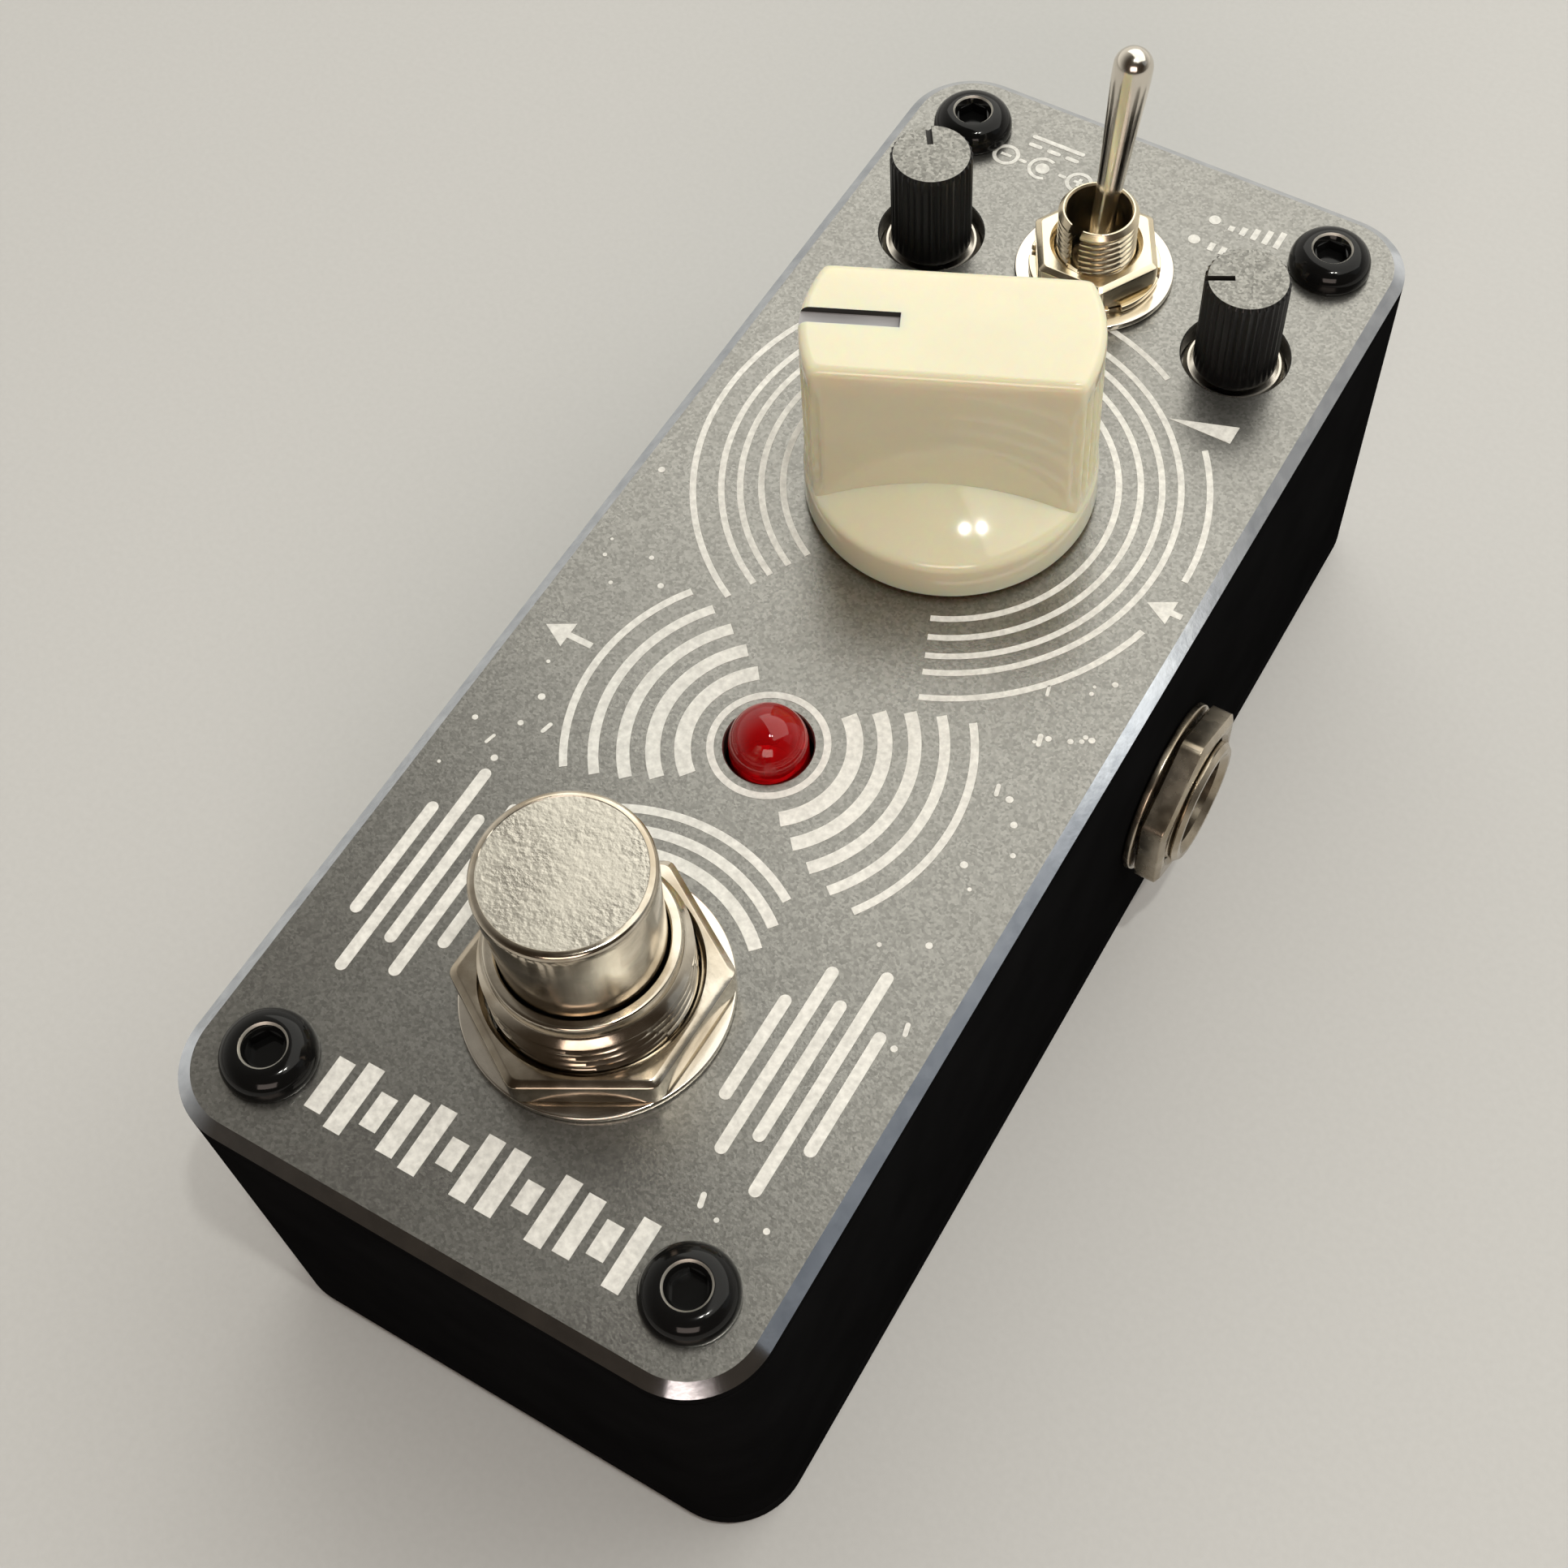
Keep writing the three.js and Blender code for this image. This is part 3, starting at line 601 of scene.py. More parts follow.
def case_shell():
    low, high = heights("enclosure")
    outside = slab(CASE_WIDTH, CASE_LENGTH, CASE_CORNER, low, high, 0.18)
    inner = (CASE_WIDTH - 2 * CASE_WALL, CASE_LENGTH - 2 * CASE_WALL, CASE_CORNER - CASE_WALL)
    room = lofted([plate_loop(*inner, low - 1), plate_loop(*inner, high + 1)])
    tube = boolean(outside, [room])
    bosses, holes = [], []
    for corner in CORNERS:
        centre = middle(f"top_screw_{corner}") / MM
        bosses.append(moved(rod(BOSS["radius"], low, high, 48), centre.x, centre.y))
        holes.append(moved(rod(BOSS["hole"], low - 1, high + 1, 32), centre.x, centre.y))
    for name in ("input", "output"):
        centre = middle(f"{name}_jack_washer") / MM
        side = jack_direction(name) * CASE_WIDTH / 2
        holes.append(moved(rod(JACK_HOLE, -4, 4, 64), side, centre.y, centre.z, turn(90, "Y")))
    centre = middle("dc_socket_pin") / MM
    hole = rod(SOCKET_HOLE, -4, 4, 64)
    holes.append(moved(hole, centre.x, CASE_LENGTH / 2, centre.z, turn(90, "X")))
    shell = boolean(boolean(tube, bosses, "UNION"), holes)
    piece("case_shell", shell, Matrix.Scale(MM, 4), "enclosure", [case_black])


EDGE = {"width": 0.8, "drop": 0.5}


def hole_tool(radius, x, y, low, high, edge=0.08, sides=72):
    """Cuts a round hole with a fine chamfer at the plate's top face, which is at local height 0."""
    section = [(0, low), (radius, low), (radius, -edge), (radius + edge + 0.01, 0.01)]
    section += [(radius + edge + 0.01, high), (0, high)]
    return moved(turned(section, sides), x, y)


def plate_holes():
    """Each hole in the top plate as (radius, node on its axis)."""
    holes = [(3.65, "main_knob"), (3.65, "left_knob"), (3.65, "right_knob")]
    holes += [(2.85, "toggle_nut"), (2.75, "led_lamp"), (6.1, "footswitch_nut")]
    return holes + [(1.7, f"top_screw_{corner}") for corner in CORNERS]


def top_plate():
    thick = extent("top_plate", 2)
    width, length = extent("top_plate", 0), extent("top_plate", 1)
    drop, inset = EDGE["drop"], EDGE["width"]
    levels = [(-thick, 0.15), (-thick + 0.15, 0), (-drop, 0), (0, inset)]
    outside = lofted(
        [plate_loop(width - 2 * i, length - 2 * i, CASE_CORNER - i, z, 20) for z, i in levels]
    )
    for face in outside.faces:
        height = face.calc_center_median().z
        if -drop < height < -0.01:
            face.material_index = 1
        elif -thick < height <= -drop:
            face.material_index = 2
    tools = []
    for radius, node in plate_holes():
        centre = middle(node) / MM
        tools.append(hole_tool(radius, centre.x, centre.y, -thick - 1, 1))
    plate = boolean(outside, tools)
    finishes = [plate_black, bright_edge, case_black]
    piece("top_plate_fine", plate, at(0, 0, PLATE_TOP), "top_plate", finishes, smooth=20)


def base_plate():
    low, high = heights("bottom_plate")
    head, shank, sink = 2.95, 1.65, 1.3
    outside = slab(CASE_WIDTH, CASE_LENGTH, CASE_CORNER, low, high, 0.15)
    sinks = []
    for corner in CORNERS:
        centre = middle(f"bottom_screw_{corner}") / MM
        side = [(head, low - 1), (head, low), (shank, low + sink), (shank, high + 1)]
        sinks.append(moved(turned([(0, low - 1), *side, (0, high + 1)], 48), centre.x, centre.y))
    piece("base_plate_fine", boolean(outside, sinks), Matrix.Scale(MM, 4), "bottom_plate", [case_black])


def top_screw(corner):
    """A button-head screw: black dome, with a pale metal ring round the socket's mouth."""
    radius, height, shank, brim = 2.8, 1.65, 1.5, 0.3
    dome = [(radius, brim), *quarter(shank, brim, radius - shank, height - brim, 8)]
    section = [(0, -8), (1.3, -8), (shank, -7.7), (shank, 0), (radius, 0, 0.1), *dome, (0, height)]
    mouth, lip, crown = 1.29, height - 0.13, height + 0.02
    ring = turned([(0, lip), (mouth, lip), (1.44, crown), (0, crown)], 64)
    cone = turned([(0, height - 0.5), (1.1, height - 0.5), (mouth, lip), (mouth, 2), (0, 2)], 64)
    key = rod(1.15, 0.4, height, 6)
    head = boolean(turned(section, 96), [painted(ring, 1), cone, key])
    node = f"top_screw_{corner}"
    centre = middle(node)
    place = at(centre.x, centre.y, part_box(node)[1].z) @ Matrix.Translation((0, 0, -height))
    piece(f"{node}_fine", head, place, node, [black_oxide, pale_socket_ring])


def base_screw(corner):
    node = f"bottom_screw_{corner}"
    centre = middle(node)
    section = [(0, 0), (2.75, 0, 0.12), (1.5, 1.3), (1.5, 7.6), (1.2, 8), (0, 8)]
    screw = boolean(turned(section, 64), [rod(1.15, -1, 0.9, 6)])
    piece(f"{node}_fine", screw, at(centre.x, centre.y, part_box(node)[0].z), node, [black_oxide])


def rubber_foot(corner):
    node = f"rubber_foot_{corner}"
    centre = middle(node)
    high = extent(node, 2)
    section = [(0, 0.15), (2.6, 0.15), (2.9, 0), (3.75, 0, 0.15), (4, 0.35, 0.15), (4, high), (0, high)]
    foot = turned(section, 96)
    piece(f"{node}_fine", foot, at(centre.x, centre.y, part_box(node)[0].z), node, [rubber_black])


# ---------------- controls


def fluted(radius, low, high, count, depth):
    """A warp that cuts upright flutes into a turned side at that radius."""

    def warp(angle, r, z):
        if r < radius - 0.25 or not low <= z <= high:
            return r, z
        return r - depth * (0.5 + 0.5 * math.cos(count * angle)), z

    return warp


KNOB = {"skirt": 9.45, "low": 0.4, "top": 15.0}
KNOB_BAR = {"foot": 9.3, "head": 9.15, "foot_half": 4.6, "head_half": 4.3}
KNOB_ROUNDING = 0.6
KNOB_RIB = {"count": 62, "depth": 0.38, "low": 3.6, "high": 13.4}


def knob_bar():
    """The grip bar: two flat sides between ribbed round ends, with rounded top edges."""
    crisp = 48
    steps = 480
    low, shoulder = KNOB["low"] + 1, KNOB["top"] - KNOB_ROUNDING

    def loop(z, inset):
        rise = (min(z, shoulder) - low) / (shoulder - low)
        reach = KNOB_BAR["foot"] + (KNOB_BAR["head"] - KNOB_BAR["foot"]) * rise - inset
        half = KNOB_BAR["foot_half"] + (KNOB_BAR["head_half"] - KNOB_BAR["foot_half"]) * rise - inset
        fade = max(0.0, min(1.0, z - KNOB_RIB["low"], (KNOB_RIB["high"] - z) * 0.8))
        points = []
        for i in range(steps):
            angle = 2 * math.pi * (i + 0.5) / steps
            rib = 0.5 + 0.5 * math.cos(KNOB_RIB["count"] * angle)
            end = reach - KNOB_RIB["depth"] * fade * rib
            side = half / abs(math.sin(angle))
            r = (end**-crisp + side**-crisp) ** (-1 / crisp)
            points.append((r * math.cos(angle), r * math.sin(angle), z))
        return points

    rows = [(low + (shoulder - low) * k / 24, 0.0) for k in range(25)]
    for k in range(1, 7):
        t = math.radians(90 * k / 6)
        rows.append((shoulder + KNOB_ROUNDING * math.sin(t), KNOB_ROUNDING * (1 - math.cos(t))))
    return lofted([loop(z, inset) for z, inset in rows])


def knob_skirt():
    """The round skirt, whose top swells towards the grip bar."""
    rim, wall, swell = KNOB["skirt"] - 0.05, 3.2, 2.2
    side = KNOB_BAR["foot_half"]
    section = [(0, KNOB["low"]), (KNOB["skirt"], KNOB["low"], 0.15), (rim, wall, 0.45)]
    for k in range(1, 15):
        r = rim * (1 - k / 14)
        section.append((r, wall + swell * (rim**2 - r**2) / (rim**2 - side**2)))
    return turned(section, 192)


def main_knob():
    shaft = 3.15
    under = [(0, 0), (7.4, 0), (7.4, 2.9, 0.3), (4.4, 2.9), (4.4, 3.8)]
    under += [(shaft, 3.8), (shaft, 10.3), (0, 10.3)]
    top = KNOB["top"]
    slot_floor = painted(block(6.94, 1.1, top - 0.5, top - 0.3, 6.6), 1)
    slot_walls = painted(block(7.0, 1.16, top - 0.4, top + 1, 6.6), 2)
    body = boolean(knob_skirt(), [knob_bar()], "UNION")
    body = boolean(body, [turned(under, 96), slot_floor, slot_walls])
    place = on_plate("main_knob") @ turn(pointer("main_knob_turn"))
    piece("main_knob_fine", body, place, "main_knob", [knob_cream, slot_paint, slot_shadow], smooth=38)


def small_knob(side):
    node = f"{side}_knob"
    low, high, radius = -0.5, 7.3, 2.8
    section = [(0, low), (radius, low, 0.2)]
    section += [(radius, low + 0.4 + (high - low - 0.6) * k / 8) for k in range(9)]
    section += [(radius - 0.2, high), (radius - 0.3, high), (0, high)]
    body = turned(section, 180, fluted(radius, low + 0.4, high, 34, 0.16))
    for face in body.faces:
        if face.normal.z > 0.9:
            face.material_index = 1
    bore = rod(1.65, low - 1, 5.6, 32)
    slot = painted(block(2.5, 0.42, high - 0.45, high + 1, 2.1), 2)
    body = boolean(body, [bore, slot])
    place = on_plate(node) @ turn(pointer(f"{side}_knob_turn"))
    piece(f"{node}_fine", body, place, node, [knob_black, knob_black_top, slot_shadow])


def potentiometer(name, bush, shaft, top, size):
    """Box, bush and bore of a potentiometer whose bush shows round its knob."""
    node = f"{name}_pot_body"
    low = (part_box(node)[0].z - PLATE_TOP) / MM
    box = block(size, size + 1.5, low, -2, 0, -0.75, edge=0.2)
    ring = [(bush, -3), (bush, top - 0.25), (bush - 0.25, top), (bush - 0.4, top)]
    sleeve = turned([(0, -3), *ring, (bush - 0.4, top - 0.8), (0, top - 0.8)], 72)
    bore = rod(shaft + 0.15, -5.5, top + 1, 48)
    body = boolean(boolean(box, [sleeve], "UNION"), [bore])
    piece(f"{node}_fine", body, on_plate(f"{name}_knob"), node, [nickel_dull])


def main_pot_hardware():
    place = on_plate("main_pot_nut")
    piece("main_pot_washer_fine", washer(3.65, 5.6, 0.1, 0.6), place, "main_pot_washer", [nickel])
    piece("main_pot_nut_fine", hexagon(10, 0.7, 2.6, 3.65), place, "main_pot_nut", [nickel])


# ---------------- toggle switch


def toggle_bush():
    radius, bore, top, pitch = 2.7, 2.2, 6.1, 0.5
    side = threaded_side(radius, 0.4, top - 0.35, pitch)
    section = [(bore, -3.1), (3.8, -3.1), (3.8, -1.6), (radius, -1.6), *side]
    section += [(radius - 0.28, top, 0.05), (bore + 0.12, top), (bore, top - 0.12)]
    tube = turned(section, 120, thread(radius, 0.4, top - 0.35, pitch, 0.27))
    keyway = moved(block(0.95, 1.5, 2.2, top + 1, 0, -radius), turned_by=turn(-11.5))
    place = on_plate("toggle_nut")
    piece("toggle_bush_fine", boolean(tube, [keyway]), place, "toggle_bush", [nickel_warm])


def lock_washer():
    section = [(2.85, 0.65), (4.5, 0.65, 0.08), (4.5, 1.1, 0.08), (2.85, 1.1, 0.08)]
    notches = [moved(block(1.1, 0.9, 0, 3, 4.4), turned_by=turn(60 * i + 15)) for i in range(6)]
    body = boolean(turned(section, 96), notches)
    piece("toggle_lock_washer_fine", body, on_plate("toggle_nut"), "toggle_lock_washer", [nickel_warm])


def toggle_lever():
    joint = JOINTS["toggle_flip"]
    lean = joint["range_deg"][1] / 2
    tip, top = 1.3, 16.27
    section = [(0, -2.6), (0.7, -2.4), (0.8, -1.6), (1.6, -0.9), (1.9, 0), (1.6, 0.9), (0.85, 1.5)]
    section += [(0.85, 5.4), (1.0, 8.6), (1.18, 12), (tip, top - 2.2), (tip, top - tip)]
    section += quarter(0, top - tip, tip, tip, 8)
    place = at(*joint["pos_m"]) @ turn(-lean, "X")
    piece("toggle_lever_fine", turned(section, 72), place, "toggle_lever", [nickel], smooth=50)


def toggle_hardware():
    place = on_plate("toggle_nut")
    piece("toggle_flat_washer_fine", washer(2.85, 5.44, 0.1, 0.55), place, "toggle_flat_washer", [nickel])
    piece("toggle_nut_fine", hexagon(8, 1.2, 3, 2.85), place, "toggle_nut", [nickel_warm])


# ---------------- foot switch


def footswitch_bush():
    radius, bore, top, rim, pitch = 5.95, 4.8, 7.0, 5.45, 0.75
    side = threaded_side(radius, -1.4, 5.55, pitch)
    section = [(bore, -4.2), (radius, -4.2), *side, (rim + 0.1, 5.85), (rim, 6.0)]
    section += [(rim, top, 0.22), (bore + 0.1, top), (bore, top - 0.1)]
    tube = turned(section, 160, thread(radius, -1.4, 5.55, pitch, 0.48))
    piece("footswitch_bush_fine", tube, on_plate("footswitch_nut"), "footswitch_bush", [nickel_painted_reflections])


def footswitch_cap():
    """The plunger's cap: polished side and rim, blasted top."""
    stem, cap, top = 4.68, 4.95, 14.6
    section = [(0, -1), (4, -1), (4, 0.5), (stem, 1.2), (stem, 7), (4.78, 10.8), (cap, top - 0.8)]
    section += [(cap, top, 0.4), (4.5, top), (4.46, top - 0.04), (0, top - 0.04)]
    body = turned(section, 160)
    for face in body.faces:
        centre = face.calc_center_median()
        if centre.z > top - 0.1 and math.hypot(centre.x, centre.y) < 4.48:
            face.material_index = 1
    place = on_plate("footswitch_cap")
    piece("footswitch_cap_fine", body, place, "footswitch_cap", [nickel_painted_reflections, nickel_blasted], smooth=45)


def footswitch_hardware():
    place = on_plate("footswitch_nut")
    ring = washer(6.1, 7.9, 0.1, 0.6, 0.15)
    nut = hexagon(14, 0.7, 3, 6.1, first_corner=29)
    piece("footswitch_washer_fine", ring, place, "footswitch_washer", [nickel])
    piece("footswitch_nut_fine", nut, place, "footswitch_nut", [nickel_painted_reflections])


def return_spring():
    """The foot switch's return spring, drawn at its rest length."""
    node = "footswitch_spring"
    low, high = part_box(node)
    centre = middle("footswitch_cap")
    wire, turns, steps, sides = 0.35, 5, 32, 10
    radius = extent(node, 0) / 2 - wire
    rise = (extent(node, 2) - 2 * wire) / (2 * math.pi * turns)
    loops = []
    for k in range(turns * steps + 1):
        angle = 2 * math.pi * k / steps
        out = Vector((math.cos(angle), math.sin(angle), 0))
        along = Vector((-radius * out.y, radius * out.x, rise)).normalized()
        up = out.cross(along)
        core = out * radius + Vector((0, 0, wire + rise * angle))
        around = [2 * math.pi * i / sides for i in range(sides)]
        loops.append([core + wire * (math.cos(t) * out + math.sin(t) * up) for t in around])
    foot = (centre.x, centre.y, low.z)
    spring = piece("footswitch_spring_fine", lofted(loops), at(*foot), node, [steel])
    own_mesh(spring)


# ---------------- lamp


def lamp():
    """A 5 mm lamp: clear dome on a flanged barrel."""
    radius, dome = 2.45, 0.25
    section = [(0, -6), (2.9, -6), (2.9, -5), (radius, -5)]
    section += quarter(0, dome, radius, radius, 12, first=0)
    piece("led_lamp_fine", turned(section, 96), on_plate("led_lamp"), "led_lamp", [lamp_red], smooth=60)


def lamp_cup():
    """The reflector cup and post inside the lamp's resin."""
    cup = turned([(0, -4.6), (0.9, -4.6), (1.1, -1.6), (0.8, -1.4), (0.35, -1.9), (0, -1.9)], 32)
    cup = moved(cup, -0.25)
    post = block(0.5, 0.5, -4.6, -1.7, 1.3, 0, edge=0.05)
    piece("led_lamp_cup", merged(cup, post), on_plate("led_lamp"), "led_lamp", [steel], stands_for=())


# ---------------- jacks and DC socket


def side_place(node, side):
    """Local Z runs out of the case's side wall, through that node's centre."""
    centre = middle(node)
    return at(0, centre.y, centre.z) @ turn(90 * side, "Y")


def jack(name):
    side = jack_direction(name)
    place = side_place(f"{name}_jack_washer", side)
    wall = CASE_WIDTH / 2
    radius, bore, end, pitch = 4.4, 3.25, 22.19, 0.75
    rising = threaded_side(radius, 17.2, end - 0.3, pitch)
    mouth = [(radius - 0.3, end), (bore + 0.45, end), (bore, end - 0.45)]
    section = [(bore, 16.9), (radius, 16.9), *rising, *mouth]
    bush = turned(section, 120, thread(radius, 17.2, end - 0.3, pitch, 0.22))
    piece(f"{name}_jack_bush_fine", bush, place, f"{name}_jack_bush", [nickel_jack])
    ring = washer(4.55, 6.1, wall + 0.1, wall + 0.6)
    piece(f"{name}_jack_washer_fine", ring, place, f"{name}_jack_washer", [nickel_jack])
    nut = hexagon(11, wall + 0.7, wall + 2.6, 4.55)
    piece(f"{name}_jack_nut_fine", nut, place, f"{name}_jack_nut", [nickel_jack])


def dc_socket():
    centre = middle("dc_socket_pin")
    place = at(0, 0, centre.z) @ turn(-90, "X")
    box = block(9.4, 10, 33, 44.3, edge=0.2)
    radius, bore, end = 4.9, 2.95, 46.35
    barrel = [(0, 43.3), (radius, 43.3), (radius, end, 0.25), (bore + 0.3, end, 0.1)]
    barrel += [(bore, end - 0.3), (bore, 45), (0, 45)]
    hollows = [rod(bore, 37, 47, 72), rod(1.2, 34, 38, 32)]
    body = boolean(boolean(box, [turned(barrel, 96)], "UNION"), hollows)
    piece("dc_socket_fine", body, place, "dc_socket_body", [plastic_black])
    pin = turned([(0, 34.2), (1.05, 34.2), (1.05, 45.35, 0.4), (0.4, 45.35), (0.4, 42), (0, 42)], 48)
    piece("dc_socket_pin_fine", pin, place, "dc_socket_pin", [nickel])


# ---------------- marks on the plate

MARK_HEIGHT = 0.02
RING_WIDTH = 0.42


class Marks:
    """Flat raised marks, gathered into one mesh."""

    def __init__(self):
        self.shape = bmesh.new()

    def fill(self, outline):
        """A mark with that outline."""
        low = [self.shape.verts.new((x, y, -MARK_HEIGHT)) for x, y in outline]
        high = [self.shape.verts.new((x, y, MARK_HEIGHT)) for x, y in outline]
        self.shape.faces.new(low)
        self.shape.faces.new(high)
        for i in range(len(outline)):
            j = (i + 1) % len(outline)
            self.shape.faces.new((low[i], low[j], high[j], high[i]))

    def dot(self, x, y, radius, sides=20):
        angles = [2 * math.pi * i / sides for i in range(sides)]
        self.fill([(x + radius * math.cos(a), y + radius * math.sin(a)) for a in angles])

    def bar(self, start, end, width):
        """A straight bar with round ends."""
        start, end = Vector(start), Vector(end)
        along = (end - start).normalized()
        heading = math.atan2(along.y, along.x)
        outline = []
        for centre, first in ((end, heading - math.pi / 2), (start, heading + math.pi / 2)):
            for k in range(9):
                a = first + math.pi * k / 8
                outline.append((centre.x + width / 2 * math.cos(a), centre.y + width / 2 * math.sin(a)))
        self.fill(outline)

    def arc(self, centre, radius, width, first, last):
        """Part of a ring with square ends, between two directions in degrees."""
        count = max(4, math.ceil(abs(last - first) / 3))
        rows = []
        for k in range(count + 1):
            a = math.radians(first + (last - first) * k / count)
            row = []
            for r in (radius - width / 2, radius + width / 2):
                x, y = centre[0] + r * math.cos(a), centre[1] + r * math.sin(a)
                row += [self.shape.verts.new((x, y, z)) for z in (-MARK_HEIGHT, MARK_HEIGHT)]
            rows.append(row)
        for a, b in zip(rows, rows[1:]):
            for i, j in ((0, 1), (1, 3), (3, 2), (2, 0)):
                self.shape.faces.new((a[i], a[j], b[j], b[i]))
        for row in (rows[0], rows[-1]):
            self.shape.faces.new((row[0], row[1], row[3], row[2]))

    def ring(self, centre, radius, width):
        self.arc(centre, radius, width, 0, 179)
        self.arc(centre, radius, width, 179, 360)

    def finished(self):
        bmesh.ops.recalc_face_normals(self.shape, faces=self.shape.faces)
        return self.shape


def knob_rings(marks, centre):
    """Five rings round the large knob, open towards the lamp and where a control or socket is marked."""
    for radius in (10.84, 12.25, 13.62, 14.84):
        marks.arc(centre, radius, RING_WIDTH, -68, 242)
    for first, last in ((-68, -16), (0, 37), (59, 121), (143, 242)):
        marks.arc(centre, 16.68, RING_WIDTH, first, last)


def arrow(marks, x, y, length, heading):
    """A small arrow that starts at x, y."""
    a = math.radians(heading)
    along, across = Vector((math.cos(a), math.sin(a))), Vector((-math.sin(a), math.cos(a)))
    neck = length - 1.7
    half = [(0, 0.22), (neck, 0.22), (neck, 0.95), (length, 0)]
    outline = half + [(reach, -side) for reach, side in reversed(half[:-1])]
    marks.fill([Vector((x, y)) + along * reach + across * side for reach, side in outline])


def wedge(marks, x, y, length, height):
    """A rising wedge, the sign of a control that goes from less to more."""
    right, low = x + length / 2, y - height / 2
    marks.fill([(x - length / 2, low), (right, low), (right, y + height / 2)])


def sound_waves(marks, lamp_centre, switch_centre):
    """Our own pattern: arcs spread from the lamp, and level bars stand either side of the foot switch."""
    x, y = lamp_centre
    marks.ring((x, y), 3.55, 0.45)
    for k, (radius, width) in enumerate(((5.2, 1.0), (7.0, 0.9), (8.8, 0.8), (10.6, 0.65), (12.4, 0.5))):
        spread = 52 - 4 * k
        marks.arc((x, y), radius, width, -spread, spread)
        marks.arc((x, y), radius, width, 180 - spread, 180 + spread)
    sx, sy = switch_centre
    for k, radius in enumerate((9.2, 10.6, 12.0)):
        spread = 44 - 6 * k
        marks.arc((sx, sy), radius, 0.8 - 0.12 * k, 90 - spread, 90 + spread)
    for side in (-1, 1):
        for k, half in enumerate((3.2, 6.0, 4.4, 7.2, 3.8)):
            bar_x = sx + side * (9.5 + 1.45 * k)
            marks.bar((bar_x, sy + 1.5 - half), (bar_x, sy + 1.5 + half), 0.75)


def level_row(marks, y):
    """A row of bars like a sound wave, between the front screws."""
    count, pitch = 13, 1.66
    for k in range(count):
        x = (k - (count - 1) / 2) * pitch
        half = 0.75 + 1.45 * abs(math.sin(1.1 * k + 0.7))
        marks.fill(box_outline(1.1, 2 * half, x, y))


def power_signs(marks, x, y):
    """The direct-current sign over the sign of a socket whose middle is the negative pole."""
    marks.bar((x - 1.9, y + 2.55), (x + 1.9, y + 2.55), 0.35)
    for k in (-1, 0, 1):
        marks.bar((x + 1.45 * k - 0.35, y + 1.75), (x + 1.45 * k + 0.35, y + 1.75), 0.35)
    for side in (-1, 1):
        marks.ring((x + 2.9 * side, y), 0.85, 0.28)
        marks.bar((x + 1.4 * side, y), (x + 1.75 * side, y), 0.28)
        marks.fill(box_outline(0.8, 0.24, x + 2.9 * side, y))
    marks.fill(box_outline(0.24, 0.26, x + 2.9, y + 0.26))
    marks.fill(box_outline(0.24, 0.26, x + 2.9, y - 0.26))
    marks.dot(x, y, 0.5)
    marks.arc((x, y), 0.95, 0.26, 60, 300)


def toggle_signs(marks, x, y):
    """Two dots for the lever's two places: rising bars for the bright one, level bars for the flat one."""
    for row in (0, 1):
        base = y - 2.3 * row
        marks.dot(x - 0.5 * row, base + 0.45, 0.42)
        for k in range(5):
            height = 0.5 + 0.28 * k if row == 0 else 0.75
            marks.fill(box_outline(0.42, height, x - 0.5 * row + 1.35 + 0.85 * k, base + height / 2))


def specks(marks, knob, lamp_centre):
    """Small dots and drops scattered down both sides of the plate, clear of the other marks."""
    dice = random.Random(11)
    for side in (-1, 1):
        for k in range(40):
            x, y = side * dice.uniform(11.5, 16.9), dice.uniform(-37.5, 4.5)
            radius = dice.uniform(0.11, 0.25)
            if math.dist((x, y), knob) < 17.4 or math.dist((x, y), lamp_centre) < 13.1:
                continue
            on_level_bars = -36 < y < -19 and abs(x) < 16.3
            on_output_arrow = side < 0 and -11 < y < -7.8
            if on_level_bars or on_output_arrow:
                continue
            if k % 3 == 2:
                marks.bar((x, y), (x - side * 0.15, y + 0.6), radius * 1.4)
            else:
                marks.dot(x, y, radius, 14)


def plate_marks():
    marks = Marks()
    knob = middle("main_knob") / MM
    lamp_at = middle("led_lamp") / MM
    switch = middle("footswitch_nut") / MM
    knob_rings(marks, (knob.x, knob.y))
    sound_waves(marks, (lamp_at.x, lamp_at.y), (switch.x, switch.y))
    front = middle("top_screw_front_left").y / MM
    rear = middle("top_screw_rear_left").y / MM
    level_row(marks, front + 0.3)
    arrow(marks, -13.3, middle("output_jack_nut").y / MM - 0.4, 3.4, 180)
    arrow(marks, 17.7, middle("input_jack_nut").y / MM + 2.3, 2.4, 180)
    wedge(marks, 12.3, 24.7, 4.4, 1.5)
    wedge(marks, -12.3, 24.7, 4.4, 1.5)
    power_signs(marks, -7.6, rear - 1.2)
    toggle_signs(marks, 5.2, rear - 0.3)
    specks(marks, (knob.x, knob.y), (lamp_at.x, lamp_at.y))
    place = at(0, 0, PLATE_TOP)
    piece("plate_marks", marks.finished(), place, "top_plate", [mark_white], stands_for=())


# ---------------- camera, light and floor


def camera():
    """A hand-held view from the front right, a little turned about its own axis."""
    azimuth, elevation, roll = math.radians(31.66), math.radians(59.415), math.radians(-2.32)
    distance = 0.13446
    target = Vector((0.00635, -0.00824, PLATE_TOP))
    level = math.cos(elevation)
    back = Vector((math.sin(azimuth) * level, -math.cos(azimuth) * level, math.sin(elevation)))
    data = bpy.data.cameras.new("camera")
    data.lens = 51.58
    data.shift_x = -0.059
    data.shift_y = -0.0126
    data.clip_start = 0.005
    item = bpy.data.objects.new("camera", data)
    item.location = target + back * distance
    facing = (-back).to_track_quat("-Z", "Y").to_matrix()
    item.rotation_euler = (facing @ Matrix.Rotation(roll, 3, "Z")).to_euler()
    bpy.context.scene.collection.objects.link(item)
    bpy.context.scene.camera = item


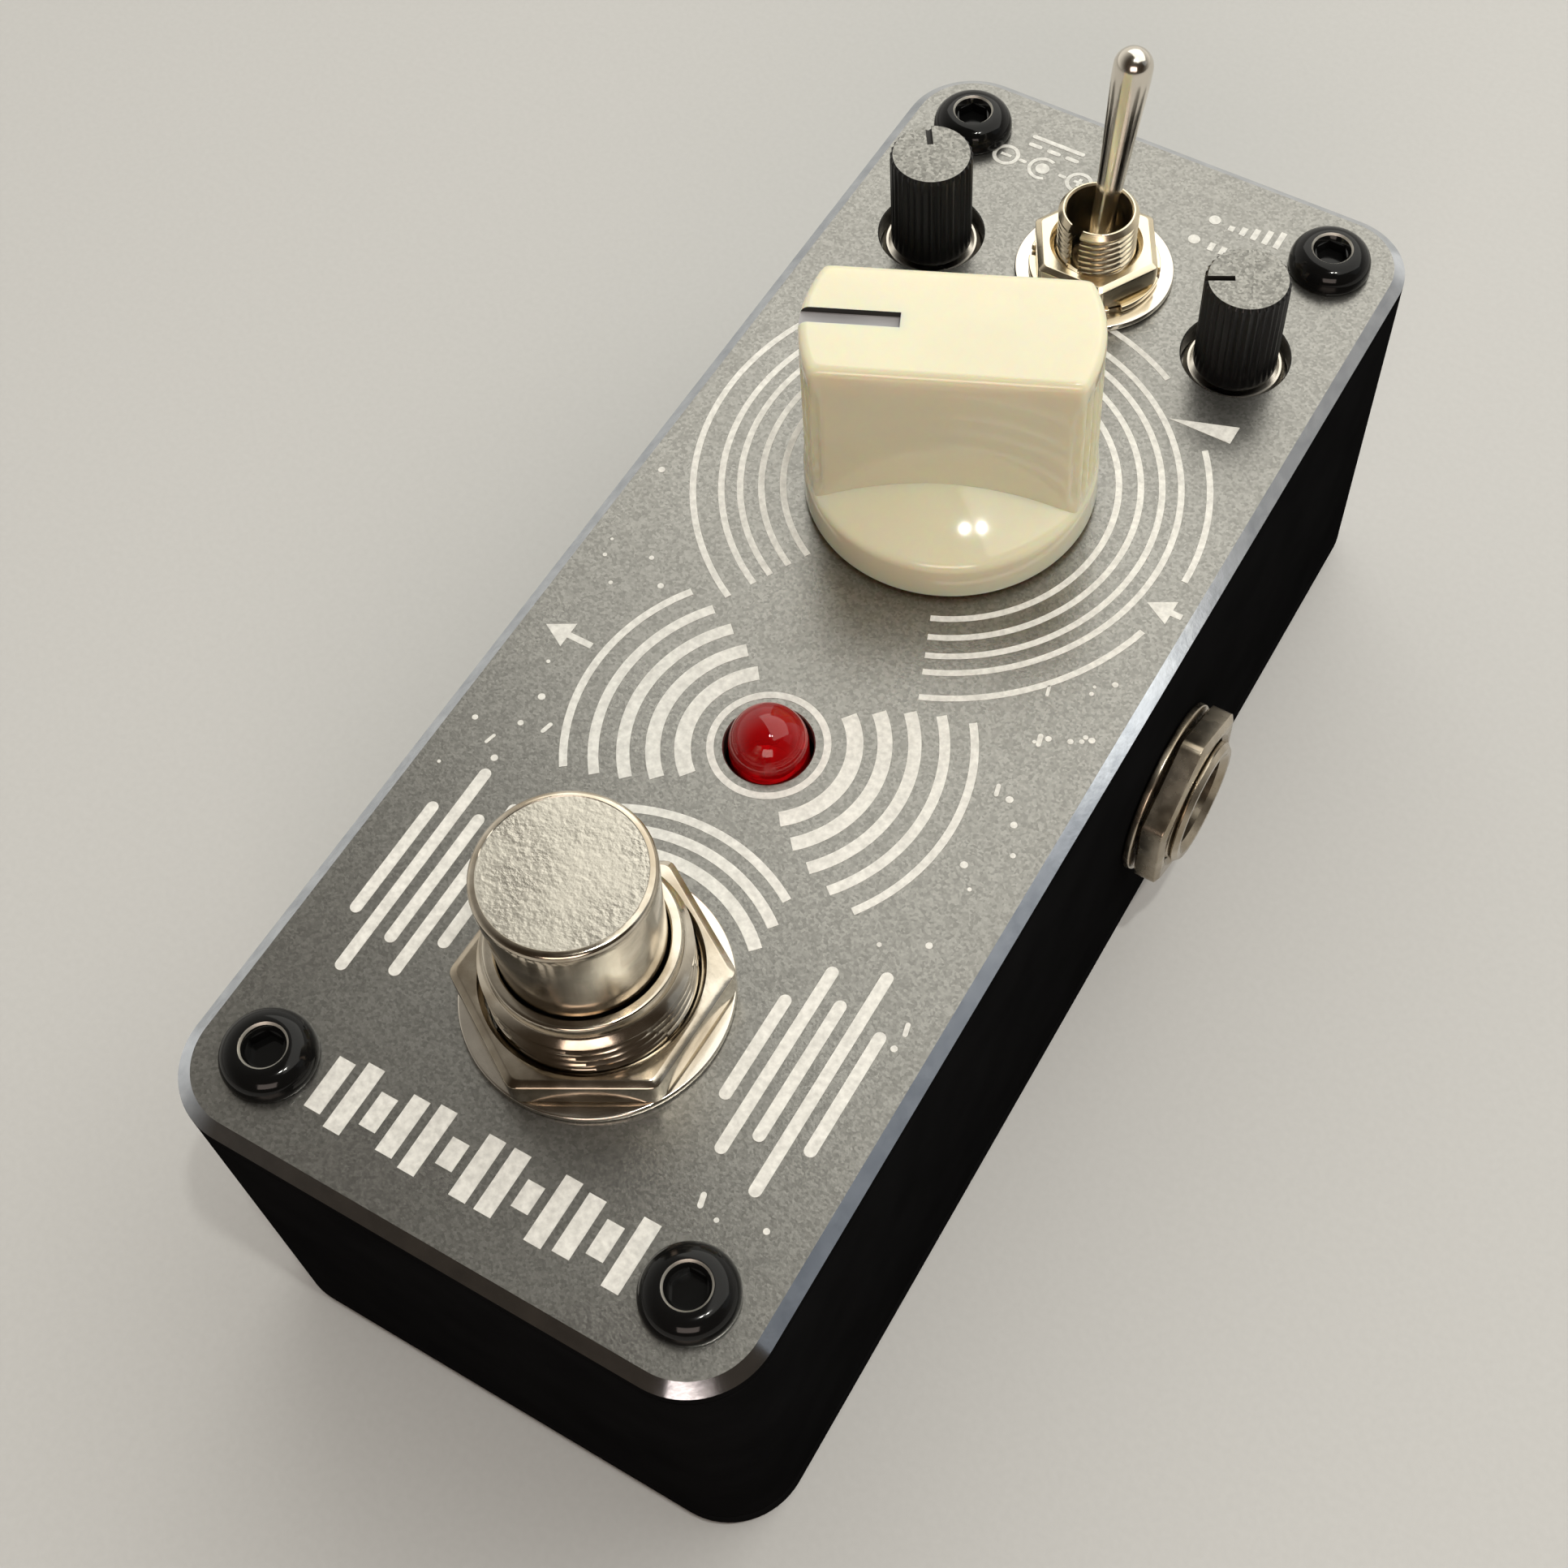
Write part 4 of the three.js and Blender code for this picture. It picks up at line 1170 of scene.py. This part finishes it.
def world():
    """A room that is bright low down behind and to the left, and dark overhead and in front.

    The object is lit by that room; past the floor's edge a plain pale backdrop is seen.
    """
    room = bpy.data.worlds.new("room")
    room.use_nodes = True
    tree = room.node_tree
    coordinates = tree.nodes.new("ShaderNodeTexCoord")
    facing = tree.nodes.new("ShaderNodeVectorMath")
    facing.operation = "DOT_PRODUCT"
    facing.inputs[1].default_value = (-0.55, 0.83, -0.9)
    level = tree.nodes.new("ShaderNodeMapRange")
    level.inputs["From Min"].default_value = -0.95
    level.inputs["From Max"].default_value = 0.7
    ramp = tree.nodes.new("ShaderNodeValToRGB")
    ramp.color_ramp.interpolation = "EASE"
    ramp.color_ramp.elements[0].color = (0.045, 0.034, 0.024, 1)
    ramp.color_ramp.elements[1].color = (0.9, 0.87, 0.8, 1)
    tree.links.new(coordinates.outputs["Generated"], facing.inputs[0])
    tree.links.new(facing.outputs["Value"], level.inputs["Value"])
    tree.links.new(level.outputs["Result"], ramp.inputs["Fac"])
    tree.links.new(ramp.outputs["Color"], tree.nodes["Background"].inputs["Color"])
    backdrop = tree.nodes.new("ShaderNodeBackground")
    backdrop.inputs["Color"].default_value = (0.58, 0.57, 0.54, 1)
    path = tree.nodes.new("ShaderNodeLightPath")
    mix = tree.nodes.new("ShaderNodeMixShader")
    tree.links.new(path.outputs["Is Camera Ray"], mix.inputs["Fac"])
    tree.links.new(tree.nodes["Background"].outputs["Background"], mix.inputs[1])
    tree.links.new(backdrop.outputs["Background"], mix.inputs[2])
    tree.links.new(mix.outputs["Shader"], tree.nodes["World Output"].inputs["Surface"])
    bpy.context.scene.world = room


def softbox(name, place, size, power, color=(1, 1, 1)):
    """A rectangular light that shines along its own -Z."""
    data = bpy.data.lights.new(name, "AREA")
    data.shape = "RECTANGLE"
    data.size, data.size_y = size
    data.energy = power
    data.color = color
    item = bpy.data.objects.new(name, data)
    item.matrix_world = place
    bpy.context.scene.collection.objects.link(item)


def aimed(location, target=(0, 0, 0.02)):
    facing = (Vector(target) - Vector(location)).to_track_quat("-Z", "Y").to_matrix().to_4x4()
    return Matrix.Translation(location) @ facing


def lamps():
    """A wide panel overhead and behind, small ceiling lamps, a cool panel at the right, a fill in front."""
    overhead = Matrix.Translation((0.076, 0.675, 0.75)) @ turn(-33)
    warm = (1, 0.985, 0.92)
    softbox("panel", overhead, (1.5, 1.1), 8.1, warm)
    softbox("ceiling_one", aimed((0.165, -0.11, 0.8)), (0.03, 0.018), 1.25, warm)
    softbox("ceiling_two", aimed((0.25, -0.05, 0.8)), (0.026, 0.018), 1.0, warm)
    softbox("cool", aimed((0.65, 0.28, 0.46)), (0.35, 0.35), 0.085, (0.8, 0.9, 1))
    softbox("fill", aimed((0.4, -0.8, 0.5)), (0.6, 0.4), 3.0, (1, 0.83, 0.74))


def studio():
    lamps()
    size = 2.6
    floor = bpy.data.meshes.new("floor")
    shape = bmesh.new()
    bmesh.ops.create_grid(shape, x_segments=8, y_segments=8, size=size / 2)
    shape.to_mesh(floor)
    shape.free()
    paper = plain("floor_paper", (0.56, 0.56, 0.55), 0.85)
    tinted(paper, noise(paper, 0.5, 3.0), (0.55, 0.55, 0.54), (0.57, 0.57, 0.56))
    floor.materials.append(paper)
    item = bpy.data.objects.new("floor", floor)
    bpy.context.scene.collection.objects.link(item)
    world()
    bpy.context.scene.view_settings.view_transform = "Standard"


# ---------------- everything together

camera()
case_shell()
top_plate()
base_plate()
for corner in CORNERS:
    top_screw(corner)
    base_screw(corner)
    rubber_foot(corner)
potentiometer("main", 3.5, 3.0, 3.2, 11)
potentiometer("left", 3.4, 1.5, -0.7, 9.4)
potentiometer("right", 3.4, 1.5, -0.7, 9.4)
main_pot_hardware()
main_knob()
small_knob("left")
small_knob("right")
toggle_bush()
toggle_hardware()
lock_washer()
toggle_lever()
footswitch_bush()
footswitch_hardware()
footswitch_cap()
return_spring()
lamp()
lamp_cup()
jack("input")
jack("output")
dc_socket()
plate_marks()
studio()
